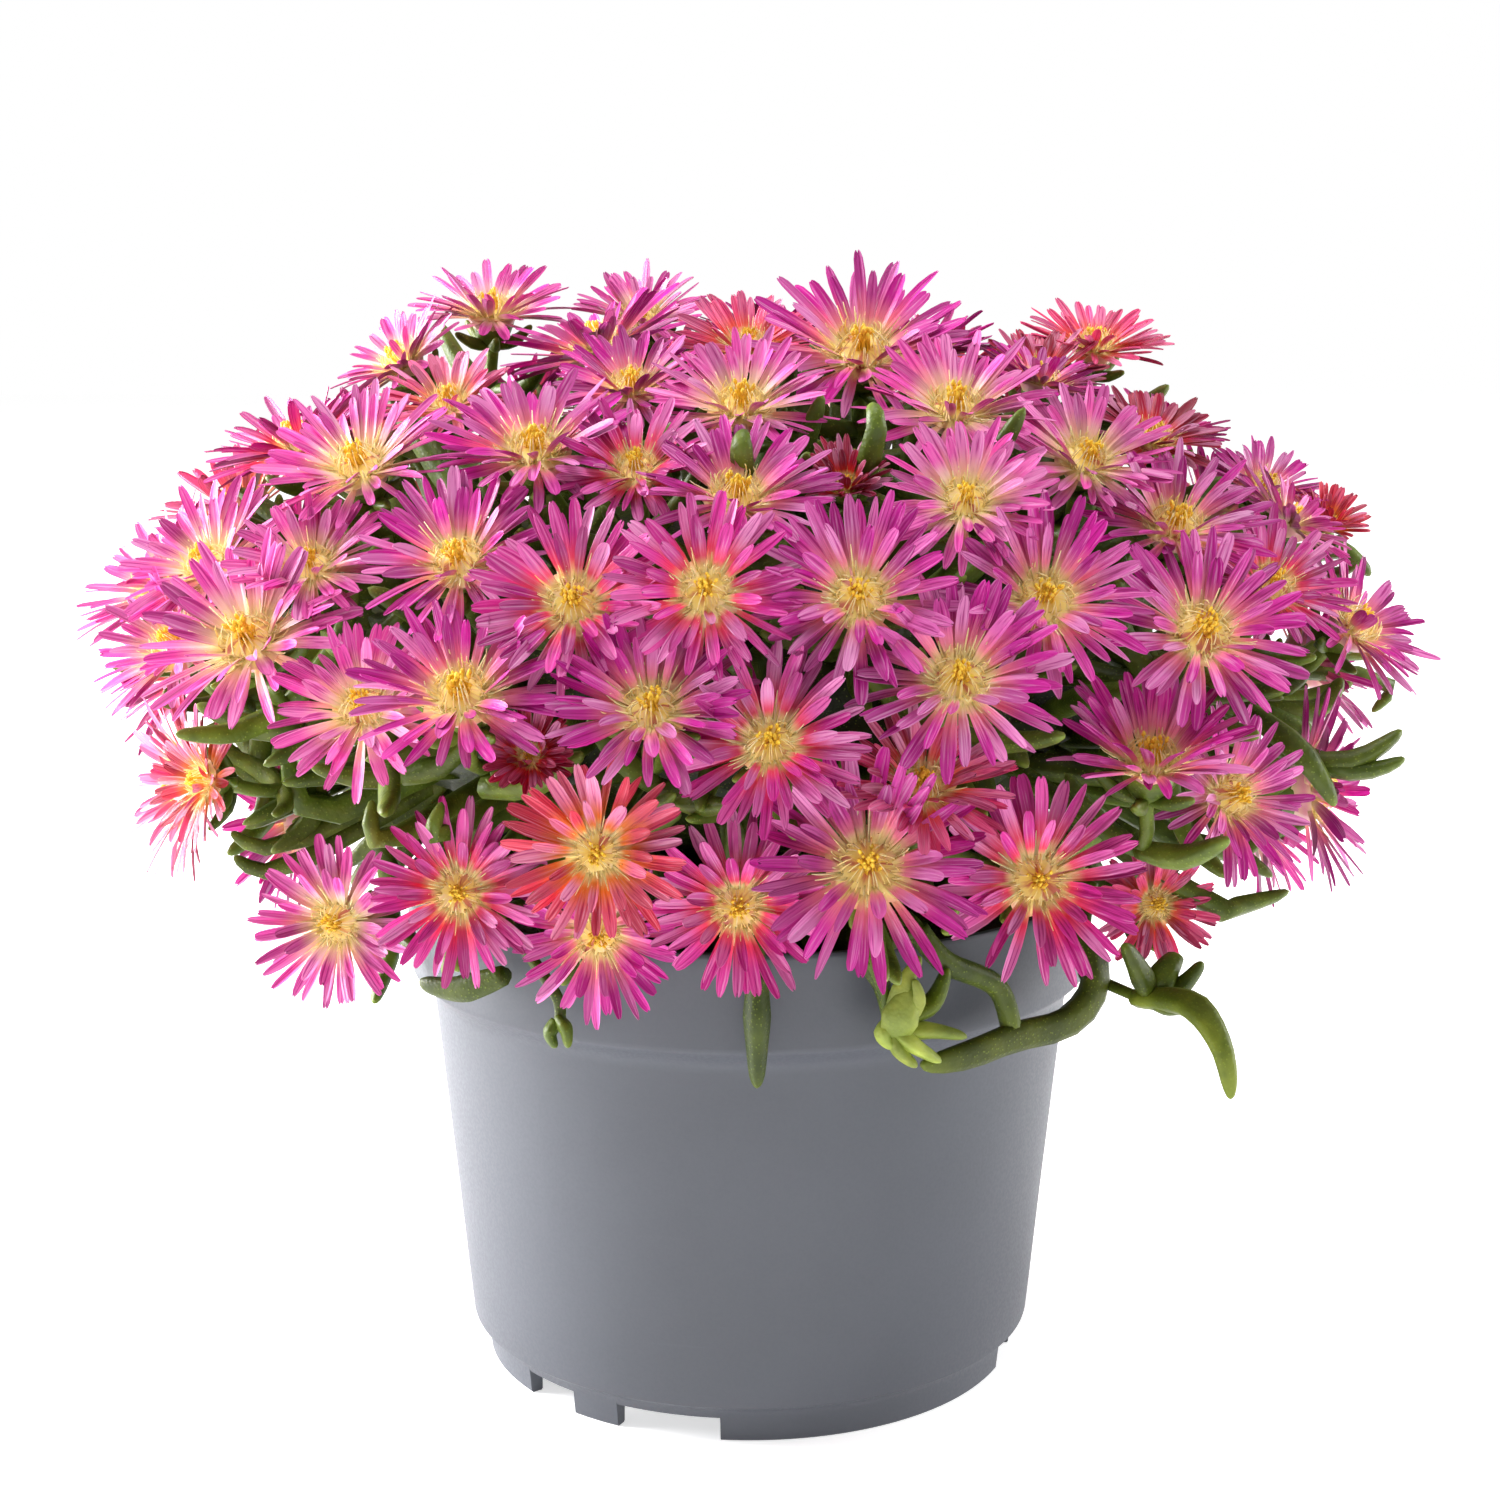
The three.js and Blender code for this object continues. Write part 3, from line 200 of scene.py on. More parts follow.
# Stems that hang over the rim: branches and leaves by pixel across, pixel down and distance from
# the pot's axis, with thickness, and for runs and leaves a share of the green, over 1 where they
# are young and yellower
STEM_FOOT_RADIUS = 56
STEM_OVER_RIM = 4
TRAILING_STEMS = [
    {
        "node": "trailing_stem_front",
        "azimuth": -66,
        "thickness": 4,
        "branches": [
            ([(945, 962, 71.5), (996, 986, 72), (1012, 1030, 73)], 4.2),
            ([(868, 956, 71.5), (882, 988, 72), (892, 1026, 72.5)], 3),
        ],
        "runs": [
            (
                [
                    (1082, 930, 73), (1095, 966, 77), (1089, 998, 77), (1062, 1023, 75),
                    (1012, 1036, 73), (966, 1054, 73), (921, 1066, 74),
                ],
                5.4,
                0.58,
            ),
        ],
        "leaves": [
            ([(757, 975, 71.5), (757, 1030, 72), (757, 1088, 71)], 4.8, 0.5),
            ([(896, 1034, 73.5), (930, 1031, 75), (967, 1037, 76)], 3.1, 2.6),
            ([(894, 1030, 74), (914, 1046, 76), (941, 1062, 76.5)], 3.1, 3),
            ([(893, 1032, 74), (900, 1052, 75), (917, 1067, 75.5)], 2.8, 2.8),
            ([(888, 1022, 73), (884, 1036, 74), (894, 1048, 74)], 3.4, 3.2),
            ([(894, 1032, 73.5), (902, 1010, 75), (913, 984, 75)], 6.4, 3.2),
            ([(892, 1008, 74), (904, 984, 75), (920, 956, 75)], 3.4, 2.6),
            ([(915, 1014, 76), (919, 996, 77), (914, 979, 77)], 2.4, 3),
            ([(905, 1020, 73), (934, 1002, 73), (948, 968, 74)], 3.8, 1),
            ([(868, 960, 72.5), (884, 990, 72.5), (884, 1010, 73)], 3, 1.2),
        ],
    },
    {
        "node": "trailing_stem_left",
        "azimuth": -128,
        "thickness": 3.6,
        "branches": [
            ([(550, 985, 71.5), (560, 1008, 71), (558, 1030, 72)], 2.2),
        ],
        "runs": [],
        "leaves": [
            ([(505, 975, 71.5), (462, 988, 73), (420, 982, 75)], 5, 0.8),
            ([(556, 1020, 72), (550, 1034, 73), (556, 1048, 73)], 2.6, 1),
            ([(558, 1018, 72), (566, 1030, 73), (568, 1048, 73)], 2.6, 1.2),
        ],
    },
    {
        "node": "trailing_stem_right",
        "azimuth": -28,
        "thickness": 3.2,
        "branches": [
            ([(1083, 971, 71), (1110, 985, 79), (1150, 1002, 89)], 2.2),
        ],
        "runs": [],
        "leaves": [
            ([(1136, 998, 87), (1190, 1006, 99), (1220, 1046, 106), (1231, 1099, 108)], 5, 1.35),
            ([(1152, 1002, 89), (1140, 974, 90), (1124, 944, 90)], 4.2, 0.75),
            ([(1152, 1003, 89), (1182, 986, 94), (1203, 962, 97)], 3.6, 0.8),
            ([(1152, 1003, 89), (1164, 976, 91), (1178, 955, 91)], 5.4, 0.85),
            ([(1148, 1001, 90), (1172, 1009, 94), (1202, 1006, 97)], 2.8, 0.9),
        ],
    },
]
# Share of the green in bare stems
STEM_TINT = 0.6


def draw(index, kind):
    """A draw between 0 and 1 for two whole numbers: the fraction of a sine blown up."""
    wave = np.sin(index * 12.9898 + kind * 78.233) * 43758.5453
    return wave - np.floor(wave)


def spread(index, kind, reach):
    """A draw between minus reach and reach."""
    return (2 * draw(index, kind) - 1) * reach


def unit(vectors):
    """Vectors scaled to length 1 along their last axis."""
    return vectors / np.linalg.norm(vectors, axis=-1, keepdims=True)


def seeded(kind, index=0):
    """The generator of one kind of piece, for one bloom where it has an index."""
    return np.random.default_rng([SEED, DRAWS[kind] + index])


# Places

VIEWPOINT = np.array([0.0, -VIEW["distance"], VIEW["height"]])
TILT = math.radians(VIEW["tilt"])


def sight_line(pixel_x, pixel_y):
    """The way from the viewpoint through a pixel, with a step of 1 straight ahead."""
    right = (pixel_x - VIEW["middle"]) / VIEW["focal"]
    up = (VIEW["middle"] - pixel_y) / VIEW["focal"]
    ahead = math.cos(TILT) + up * math.sin(TILT)
    return np.array([right, ahead, up * math.cos(TILT) - math.sin(TILT)])


def seen_at_depth(pixel_x, pixel_y, y):
    """The point behind a pixel where its sight line reaches depth y."""
    line = sight_line(pixel_x, pixel_y)
    return VIEWPOINT + line * (y + VIEW["distance"]) / line[1]


def seen_on_cylinder(pixel_x, pixel_y, radius):
    """The nearer point behind a pixel on an upright cylinder: the smaller root of a quadratic."""
    line = sight_line(pixel_x, pixel_y)
    a = line[0] ** 2 + line[1] ** 2
    b = -line[1] * VIEW["distance"]
    c = VIEW["distance"] ** 2 - radius ** 2
    step = (-b - math.sqrt(max(0, b * b - a * c))) / a
    return VIEWPOINT + line * step


def seen_on_mound(pixel_x, pixel_y, behind):
    """The first point behind a pixel on the mound, or the nearest where the line passes by."""
    line = sight_line(pixel_x, pixel_y)
    travel = VIEW["distance"] - SEARCH["before"] + SEARCH["step"] * np.arange(SEARCH["steps"])
    points = VIEWPOINT + travel[:, None] * line
    across = np.hypot(points[:, 0] / MOUND["width"], points[:, 1] / MOUND["depth"])
    rise = points[:, 2] - MOUND["middle"]
    along = np.abs(rise) / np.where(rise > 0, MOUND["up"], MOUND["down"])
    value = across ** MOUND["roundness"] + along ** MOUND["roundness"]
    inside = np.flatnonzero(value <= 1)
    best = travel[inside[0] if len(inside) else np.argmin(value)]
    return VIEWPOINT + line * (best + behind)


def facing(rise, turn):
    """A direction that rises by one angle and turns to the right of the front by another."""
    return np.array([math.cos(rise) * math.sin(turn), -math.cos(rise) * math.cos(turn), math.sin(rise)])


# Blooms

def lay_out_blooms():
    """Every bloom's middle, facing axis, radius, tone and node, with the two directions across
    its axis and the place of its cup."""
    blooms = [
        {
            "centre": seen_on_mound(x, y, behind),
            "axis": facing(math.radians(rise), math.radians(turn)),
            "radius": radius,
            "tone": tone,
        }
        for x, y, radius, rise, turn, behind, tone in SEEN_BLOOMS
    ]
    for radius in OTHER_RADII:
        for i in range(OTHER_PLACES):
            add_other_bloom(blooms, radius, i)
    group_blooms(blooms)
    for bloom in blooms:
        side = np.cross((0, 0, 1), bloom["axis"])
        bloom["side"] = unit(side if side @ side > 1e-3 else np.array([1.0, 0, 0]))
        bloom["up"] = np.cross(bloom["axis"], bloom["side"])
        bloom["cup"] = bloom["centre"] - bloom["axis"] * CUP_SHARE * bloom["radius"]
    return blooms


def add_other_bloom(blooms, radius, place):
    """Keeps a golden-angle place on the mound where it faces away and isn't crowded."""
    index = len(blooms)
    azimuth = place * GOLDEN_ANGLE
    height = 1 - (1 - OTHER_LOWEST) * (place + 0.5) / OTHER_PLACES
    flat = math.sqrt(1 - height * height)
    rise = height * (MOUND["up"] if height > 0 else MOUND["down"])
    centre = np.array([
        flat * MOUND["width"] * math.cos(azimuth),
        flat * MOUND["depth"] * math.sin(azimuth),
        MOUND["middle"] + rise,
    ])
    out = unit(np.array([
        centre[0] / MOUND["width"] ** 2,
        centre[1] / MOUND["depth"] ** 2,
        rise / MOUND["up"] ** 2,
    ]))
    faces_view = out @ unit(VIEWPOINT - centre)
    gaps = np.linalg.norm(np.array([b["centre"] for b in blooms]) - centre, axis=1)
    reaches = np.array([b["radius"] for b in blooms]) + radius
    if faces_view < OTHER_FACING and not np.any(gaps < OTHER_SPACING * reaches):
        tipped = OTHER_LEAN["middle"] + OTHER_LEAN["per_millimetre"] * rise
        tipped += spread(index, LEAN_DRAW, LEAN_SPREAD)
        lean = math.radians(min(OTHER_LEAN["most"], tipped))
        turn = azimuth + math.pi / 2 + math.radians(spread(index, TURN_DRAW, TURN_SPREAD))
        tone = OTHER_TONES[index % len(OTHER_TONES)]
        blooms.append({"centre": centre, "axis": facing(lean, turn), "radius": radius, "tone": tone})


def group_blooms(blooms):
    """The closest pairs share a node, until there are only as many nodes as wanted."""
    pairs = []
    for i, one in enumerate(blooms):
        for j in range(i + 1, len(blooms)):
            two = blooms[j]
            apart = np.linalg.norm(one["centre"] - two["centre"])
            pairs.append((apart / (one["radius"] + two["radius"]), i, j))
    partner = {}
    for _, i, j in sorted(pairs):
        if len(blooms) - len(partner) / 2 <= BLOOM_NODES:
            break
        if i not in partner and j not in partner:
            partner[i] = j
            partner[j] = i
    count = 0
    for i, bloom in enumerate(blooms):
        if partner.get(i, i) < i:
            bloom["node"] = blooms[partner[i]]["node"]
        else:
            count += 1
            bloom["node"] = f"bloom_{count:02d}"


# Mesh building: swept tubes and turned surfaces as whole arrays

def resample(points, shares):
    """Points along smooth curves through given ones (n, p, 3), at shares of the way from the first
    to the last: Catmull-Rom spans."""
    points = np.asarray(points, float)
    last = points.shape[1] - 1
    t = np.asarray(shares) * last
    span = np.minimum(t.astype(int), last - 1)
    f = (t - span)[None, :, None]
    p0 = points[:, np.maximum(span - 1, 0)]
    p1 = points[:, span]
    p2 = points[:, span + 1]
    p3 = points[:, np.minimum(span + 2, last)]
    return 0.5 * (2 * p1 + (p2 - p0) * f + (2 * p0 - 5 * p1 + 4 * p2 - p3) * f ** 2
                  + (3 * p1 - p0 - 3 * p2 + p3) * f ** 3)


def sweep(centres, side, section):
    """Rings of corners along lines: each ring's corners are its section's two shares along the
    side and across it. Centres (n, s, 3), side (n, 3), section (n, s, k, 2)."""
    run = unit(np.gradient(centres, axis=1))
    along_side = side[:, None] - np.sum(side[:, None] * run, axis=2, keepdims=True) * run
    along_side = unit(along_side)
    across = np.cross(run, along_side)
    return (centres[:, :, None]
            + section[..., 0:1] * along_side[:, :, None]
            + section[..., 1:2] * across[:, :, None])


def tube_faces(strands, rings, sides):
    """Quads between neighbouring rings of each strand, and one many-sided face at each end."""
    k = np.arange(sides)
    ring = np.arange(rings - 1)
    base = np.arange(strands) * rings * sides
    low = base[:, None, None] + ring[None, :, None] * sides + k
    high_next = base[:, None, None] + ring[None, :, None] * sides + (k + 1) % sides
    quads = np.stack([low, high_next, high_next + sides, low + sides], axis=-1).reshape(-1, 4)
    starts = (base[:, None] + k[::-1]).reshape(-1, sides)
    ends = (base[:, None] + (rings - 1) * sides + k).reshape(-1, sides)
    return quads, np.concatenate([starts, ends])


def tube_uvs(strands, rings, sides):
    """For each corner of each face: share along the strand, and share round its section."""
    k = np.arange(sides)
    u = np.linspace(0, 1, rings)
    v = (k + 0.5) / sides
    low_u = np.broadcast_to(u[:-1, None], (rings - 1, sides))
    high_u = np.broadcast_to(u[1:, None], (rings - 1, sides))
    here = np.broadcast_to(v[k], (rings - 1, sides))
    beyond = np.broadcast_to(v[(k + 1) % sides], (rings - 1, sides))
    quad = np.stack([
        np.stack([low_u, here], -1),
        np.stack([low_u, beyond], -1),
        np.stack([high_u, beyond], -1),
        np.stack([high_u, here], -1),
    ], axis=2).reshape(-1, 2)
    start = np.stack([np.zeros(sides), v[::-1]], -1)
    end = np.stack([np.ones(sides), v], -1)
    return np.concatenate([np.tile(part, (strands, 1)) for part in (quad, start, end)])


class Shape:
    """Corners in millimetres, faces, UVs and colours, gathered before one mesh is made of them."""

    def __init__(self):
        self.corners = []
        self.faces = []
        self.uvs = []
        self.colours = {}
        self.count = 0

    def add(self, corners, faces, uvs, **colours):
        """Adds corners (m, 3), face arrays (f, k) with UVs for each face corner, and per-corner
        colours."""
        for face in faces:
            self.faces.append(face + self.count)
        self.corners.append(corners)
        self.uvs.append(uvs)
        for name, values in colours.items():
            self.colours.setdefault(name, []).append(values)
        self.count += len(corners)

    def add_strands(self, centres, side, section, **colours):
        """Adds closed tubes along centre lines; colours are (n, 3) for each strand."""
        strands, rings, sides = section.shape[:3]
        corners = sweep(centres, side, section).reshape(-1, 3)
        quads, caps = tube_faces(strands, rings, sides)
        spreads = {
            name: np.repeat(values, rings * sides, axis=0) for name, values in colours.items()
        }
        self.add(corners, [quads, caps], tube_uvs(strands, rings, sides), **spreads)

    def mesh(self, name):
        """Puts the arrays into a new mesh, in metres. The corners' order turns faces outwards."""
        corners = np.concatenate(self.corners) * MM
        loops = np.concatenate([face.reshape(-1) for face in self.faces])
        sizes = np.concatenate([np.full(len(face), face.shape[1]) for face in self.faces])
        mesh = bpy.data.meshes.new(name)
        mesh.vertices.add(len(corners))
        mesh.vertices.foreach_set("co", corners.reshape(-1))
        mesh.loops.add(len(loops))
        mesh.loops.foreach_set("vertex_index", loops.astype(np.int32))
        mesh.polygons.add(len(sizes))
        mesh.polygons.foreach_set("loop_start", (np.cumsum(sizes) - sizes).astype(np.int32))
        layer = mesh.uv_layers.new(name="Shape")
        layer.uv.foreach_set("vector", np.concatenate(self.uvs).astype(np.float32).reshape(-1))
        for key, parts in self.colours.items():
            rgb = np.concatenate(parts)
            opaque = np.concatenate([rgb, np.ones((len(rgb), 1))], axis=1)
            attribute = mesh.color_attributes.new(name=key, type="FLOAT_COLOR", domain="POINT")
            attribute.data.foreach_set("color", opaque.astype(np.float32).reshape(-1))
        mesh.update(calc_edges=True)
        mesh.validate()
        mesh.shade_smooth()
        return mesh


def add_piece(shape, name, material, replaced=(), sharp=None):
    """Makes the object of a shape, gives it its material and slot, and rides it on the root.
    Edges of more than so many degrees are sharp."""
    mesh = shape.mesh(name)
    if sharp is not None:
        mesh.set_sharp_from_angle(angle=math.radians(sharp))
    mesh.materials.append(material)
    piece = bpy.data.objects.new(name, mesh)
    bpy.context.scene.collection.objects.link(piece)
    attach(piece, "root")
    if replaced:
        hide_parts(*replaced)
    return piece


def round_section(radii, sides, three_sided=0.0):
    """Round sections of given radii (n, s): angle by side, fuller at three corners by a share."""
    angle = FULL_TURN * np.arange(sides) / sides
    swell = 1 + three_sided * np.cos(3 * angle)
    ring = np.stack([np.cos(angle) * swell, np.sin(angle) * swell], -1)
    return radii[..., None, None] * ring


def any_side(directions):
    """For each direction one at right angles to it: its cross product with up, or with X."""
    directions = unit(directions)
    upright = np.abs(directions[:, 2:3]) > 0.85
    other = np.where(upright, np.array([1.0, 0, 0]), np.array([0, 0, 1.0]))
    return unit(np.cross(directions, other))


# Materials

def linear(colour):
    """An sRGB hex colour such as #d24fa2 as linear red, green and blue."""
    value = np.array([int(colour[i:i + 2], 16) for i in (1, 3, 5)]) / 255
    return np.where(value <= 0.04045, value / 12.92, ((value + 0.055) / 1.055) ** 2.4)


def rgba(colour):
    """A linear colour with full alpha, for a socket."""
    return (*[float(c) for c in colour], 1.0)


def cell_scale(size):
    """The scale, in metres, of a pattern whose cells are so many millimetres across."""
    return 1 / (size * MM)


def connect(tree, made, inputs):
    """Links each of a node's inputs, by name or number, that is given a socket, and sets each
    that is given a value."""
    for key, value in inputs.items():
        if isinstance(value, bpy.types.NodeSocket):
            tree.links.new(value, made.inputs[key])
        else:
            made.inputs[key].default_value = value


def node(tree, kind, inputs=None, **settings):
    """Adds a node with its settings, and with the values and links of its inputs."""
    made = tree.nodes.new(kind)
    for key, value in settings.items():
        setattr(made, key, value)
    connect(tree, made, inputs or {})
    return made


def new_material(name):
    """A material with only a Principled shader."""
    material = bpy.data.materials.new(name)
    material.use_nodes = True
    tree = material.node_tree
    return material, tree, tree.nodes["Principled BSDF"]


# Settings that many nodes share. A Map Range node's inputs are its value, low and high, and what
# they become. A Mix node's are 0, the factor, and 6 and 7, the two colours; its colour is output 2
SMOOTH = {"interpolation_type": "SMOOTHSTEP"}
BLEND = {"data_type": "RGBA"}
TINT = {"data_type": "RGBA", "blend_type": "MULTIPLY"}

# A petal's length and the way round its section in millimetres, and the length and breadth of a
# rib's cells on it
PETAL_SKIN = (14, 4.5)
RIB_CELL = (10, 0.5)
# Cells of the petals' pattern that a millimetre of place shifts it by, so that no petals match
RIB_SHIFT = 0.06


def petal_material(colours):
    """Living petals: thin cells with a silky, lengthwise ribbed skin; cream at the root, through its
    bloom's halo to the tip's own colour. Narrow pale streaks of painted sheen highlight run along each
    strap's ribs, with painted shade in the grooves between them."""
    material, tree, shader = new_material("ice_plant_petal")
    uv = node(tree, "ShaderNodeUVMap", uv_map="Shape").outputs[0]
    along = node(tree, "ShaderNodeSeparateXYZ", {0: uv}).outputs[0]
    halo = node(tree, "ShaderNodeAttribute", attribute_name="halo").outputs["Color"]
    tip = node(tree, "ShaderNodeAttribute", attribute_name="tip").outputs["Color"]
    place = node(tree, "ShaderNodeTexCoord").outputs["Object"]
    cells = (PETAL_SKIN[0] / RIB_CELL[0], PETAL_SKIN[1] / RIB_CELL[1], 1.0)
    ribbed = node(tree, "ShaderNodeMapping", {0: uv, "Scale": cells}).outputs[0]
    shifts = {0: place, 1: (RIB_SHIFT / MM,) * 3, 2: ribbed}
    ribbed = node(tree, "ShaderNodeVectorMath", shifts, operation="MULTIPLY_ADD").outputs[0]
    ribs = node(tree, "ShaderNodeTexNoise", {"Vector": ribbed, "Scale": 1.0, "Detail": 3.0}).outputs[0]
    share = node(tree, "ShaderNodeMapRange", {0: along, 1: 0.08, 2: 0.34}, **SMOOTH).outputs[0]
    warm = node(tree, "ShaderNodeMix", {0: share, 6: rgba(colours.petal_root), 7: halo}, **BLEND).outputs[2]
    share = node(tree, "ShaderNodeMapRange", {0: along, 1: 0.26, 2: 0.68}, **SMOOTH).outputs[0]
    base = node(tree, "ShaderNodeMix", {0: share, 6: warm, 7: tip}, **BLEND).outputs[2]
    # Painted sheen highlight: pale streaks on the ribs; and painted shade: darker grooves between them that
    # fade towards the root
    sheen_highlight = rgba(linear("#ffd4f3"))
    pale = node(tree, "ShaderNodeMix", {0: 0.55, 6: base, 7: sheen_highlight}, **BLEND).outputs[2]
    share = node(tree, "ShaderNodeMapRange", {0: ribs, 1: 0.53, 2: 0.7, 4: 0.52}, **SMOOTH).outputs[0]
    sheen_streaked = node(tree, "ShaderNodeMix", {0: share, 6: base, 7: pale}, **BLEND).outputs[2]
    # Painted shade in the grooves: the colour is multiplied darker where the ribs' pattern is low, less so
    # near the root
    shaded = rgba(linear("#c86fb5"))
    groove_shade = node(tree, "ShaderNodeMix", {0: 1.0, 6: base, 7: shaded}, **TINT).outputs[2]
    groove = node(tree, "ShaderNodeMapRange", {0: ribs, 1: 0.49, 2: 0.34, 4: 0.9}, **SMOOTH).outputs[0]
    outer = node(tree, "ShaderNodeMapRange", {0: along, 1: 0.25, 2: 0.6, 3: 0.12}, **SMOOTH).outputs[0]
    share = node(tree, "ShaderNodeMath", {0: groove, 1: outer}, operation="MULTIPLY").outputs[0]
    final = node(tree, "ShaderNodeMix", {0: share, 6: sheen_streaked, 7: groove_shade}, **BLEND).outputs[2]
    relief = {"Height": ribs, "Strength": 0.5, "Distance": 0.3 * MM}
    connect(tree, shader, {
        "Base Color": final,
        "Normal": node(tree, "ShaderNodeBump", relief).outputs[0],
        "Roughness": 0.36,
        "Specular IOR Level": 0.32,
    })
    return material


def eye_material():
    """Stamens: dusty pollen on dry threads, so a matt surface in the colour that each part has."""
    material, tree, shader = new_material("stamen_and_filament")
    own = node(tree, "ShaderNodeAttribute", attribute_name="tip").outputs["Color"]
    place = node(tree, "ShaderNodeTexCoord").outputs["Object"]
    # Pollen in grains about 0.5 mm apart
    grains = {"Vector": place, "Scale": cell_scale(0.5), "Detail": 1.0}
    grains = node(tree, "ShaderNodeTexNoise", grains).outputs[0]
    share = node(tree, "ShaderNodeMapRange", {0: grains, 1: 0.5, 2: 0.3}, **SMOOTH).outputs[0]
    shaded = rgba(linear("#fff3da"))
    darker = node(tree, "ShaderNodeMix", {0: 1.0, 6: own, 7: shaded}, **TINT).outputs[2]
    dusty = node(tree, "ShaderNodeMix", {0: share, 6: own, 7: darker}, **BLEND).outputs[2]
    connect(tree, shader, {"Base Color": dusty, "Roughness": 0.6})
    return material


def leaf_material(name, base, pale, roughness):
    """Succulent skin: waxy, covered in glass-clear papillae, with fine pale dots of painted glint where
    they catch the light, a paler tip and blotches of lighter green."""
    material, tree, shader = new_material(name)
    base = rgba(base)
    # The painted glint's colour: the light green made half again lighter
    papillae_glint = rgba(np.array(pale) * 1.5)
    pale = rgba(pale)
    uv = node(tree, "ShaderNodeUVMap", uv_map="Shape").outputs[0]
    along = node(tree, "ShaderNodeSeparateXYZ", {0: uv}).outputs[0]
    place = node(tree, "ShaderNodeTexCoord").outputs["Object"]
    tint = node(tree, "ShaderNodeAttribute", attribute_name="tip").outputs["Color"]
    # Blotches about 5 mm across
    blotch = {"Vector": place, "Scale": cell_scale(5), "Detail": 2.0}
    blotch = node(tree, "ShaderNodeTexNoise", blotch).outputs[0]
    # Painted glints: pale dots on papillae about 0.7 mm apart, drawn coarser than life so that they show
    papillae = {"Vector": place, "Scale": cell_scale(0.7)}
    papillae = node(tree, "ShaderNodeTexVoronoi", papillae).outputs[0]
    blotched = {0: blotch, 1: 0.3, 2: 0.75, 3: 0.1, 4: 0.5}
    share = node(tree, "ShaderNodeMapRange", blotched, **SMOOTH).outputs[0]
    body = node(tree, "ShaderNodeMix", {0: share, 6: base, 7: pale}, **BLEND).outputs[2]
    body = node(tree, "ShaderNodeMix", {0: 1.0, 6: body, 7: tint}, **TINT).outputs[2]
    share = node(tree, "ShaderNodeMapRange", {0: along, 1: 0.7, 2: 1.0, 4: 0.45}, **SMOOTH).outputs[0]
    body = node(tree, "ShaderNodeMix", {0: share, 6: body, 7: pale}, **BLEND).outputs[2]
    # Painted glint: the pale dots where the papillae catch the light
    share = node(tree, "ShaderNodeMapRange", {0: papillae, 1: 0.28, 2: 0.1, 4: 0.35}, **SMOOTH).outputs[0]
    body = node(tree, "ShaderNodeMix", {0: share, 6: body, 7: papillae_glint}, **BLEND).outputs[2]
    relief = {"Height": papillae, "Strength": 0.35, "Distance": 0.2 * MM}
    connect(tree, shader, {
        "Base Color": body,
        "Normal": node(tree, "ShaderNodeBump", relief, invert=True).outputs[0],
        "Roughness": roughness,
        "Specular IOR Level": 0.28,
    })
    return material


def pot_material(colours):
    """Injection-moulded recycled polypropylene: matt, with a faint orange-peel skin, soft cloudy
    flow marks and a few fine scuffs, so its highlights are broad and slightly uneven."""
    material, tree, shader = new_material("moulded_polypropylene")
    grey = np.array(colours.pot)
    place = node(tree, "ShaderNodeTexCoord").outputs["Object"]
    # Flow marks about 30 mm across
    clouds = {"Vector": place, "Scale": cell_scale(30), "Detail": 3.0}
    clouds = node(tree, "ShaderNodeTexNoise", clouds).outputs[0]
    share = node(tree, "ShaderNodeMapRange", {0: clouds, 1: 0.3, 2: 0.7}, **SMOOTH).outputs[0]
    tones = {0: share, 6: rgba(grey * 0.955), 7: rgba(grey * 1.03)}
    body = node(tree, "ShaderNodeMix", tones, **BLEND).outputs[2]
    # Scuffs: noise drawn out round the wall, 30 mm long and 1.1 mm high
    scuff = (cell_scale(30), cell_scale(30), cell_scale(1.1))
    scuff = node(tree, "ShaderNodeMapping", {0: place, "Scale": scuff}).outputs[0]
    scuff = node(tree, "ShaderNodeTexNoise", {"Vector": scuff, "Scale": 1.0, "Detail": 2.0}).outputs[0]
    share = node(tree, "ShaderNodeMapRange", {0: scuff, 1: 0.66, 2: 0.78, 4: 0.12}, **SMOOTH).outputs[0]
    body = node(tree, "ShaderNodeMix", {0: share, 6: body, 7: rgba(grey * 1.35)}, **BLEND).outputs[2]
    # The skin's grain, about 0.6 mm
    grain = {"Vector": place, "Scale": cell_scale(0.6), "Detail": 1.0}
    grain = node(tree, "ShaderNodeTexNoise", grain).outputs[0]
    polish = {0: grain, 1: 0.3, 2: 0.7, 3: 0.46, 4: 0.56}
    relief = {"Height": grain, "Strength": 0.12, "Distance": 0.1 * MM}
    connect(tree, shader, {
        "Base Color": body,
        "Normal": node(tree, "ShaderNodeBump", relief).outputs[0],
        "Roughness": node(tree, "ShaderNodeMapRange", polish, **SMOOTH).outputs[0],
        "IOR": 1.49,
    })
    return material


def soil_material(colours):
    """Peat potting soil: fibrous dark crumbs, fully matt, with paler dry fibres among them."""
    material, tree, shader = new_material("peat_potting_soil")
    brown = np.array(colours.soil)
    place = node(tree, "ShaderNodeTexCoord").outputs["Object"]
    # Crumbs about 2 mm across
    crumbs = {"Vector": place, "Scale": cell_scale(2), "Detail": 4.0}
    crumbs = node(tree, "ShaderNodeTexNoise", crumbs).outputs[0]
    share = node(tree, "ShaderNodeMapRange", {0: crumbs, 1: 0.35, 2: 0.7}, **SMOOTH).outputs[0]
    tones = {0: share, 6: rgba(brown * 0.5), 7: rgba(brown * 1.7)}
    relief = {"Height": crumbs, "Strength": 0.8, "Distance": 1.0 * MM}
    connect(tree, shader, {
        "Base Color": node(tree, "ShaderNodeMix", tones, **BLEND).outputs[2],
        "Normal": node(tree, "ShaderNodeBump", relief).outputs[0],
        "Roughness": 0.95,
    })
    return material


def floor_material(colours):
    """Studio paper lit from below: plain, pale and matt, so that it meets the backdrop unseen."""
    material, tree, shader = new_material("studio_paper")
    connect(tree, shader, {
        "Base Color": rgba(colours.floor),
        "Roughness": 0.9,
        "Emission Color": rgba((1, 1, 1)),
        "Emission Strength": 0.6,
    })
    return material


# Sizes and colours that a user would change

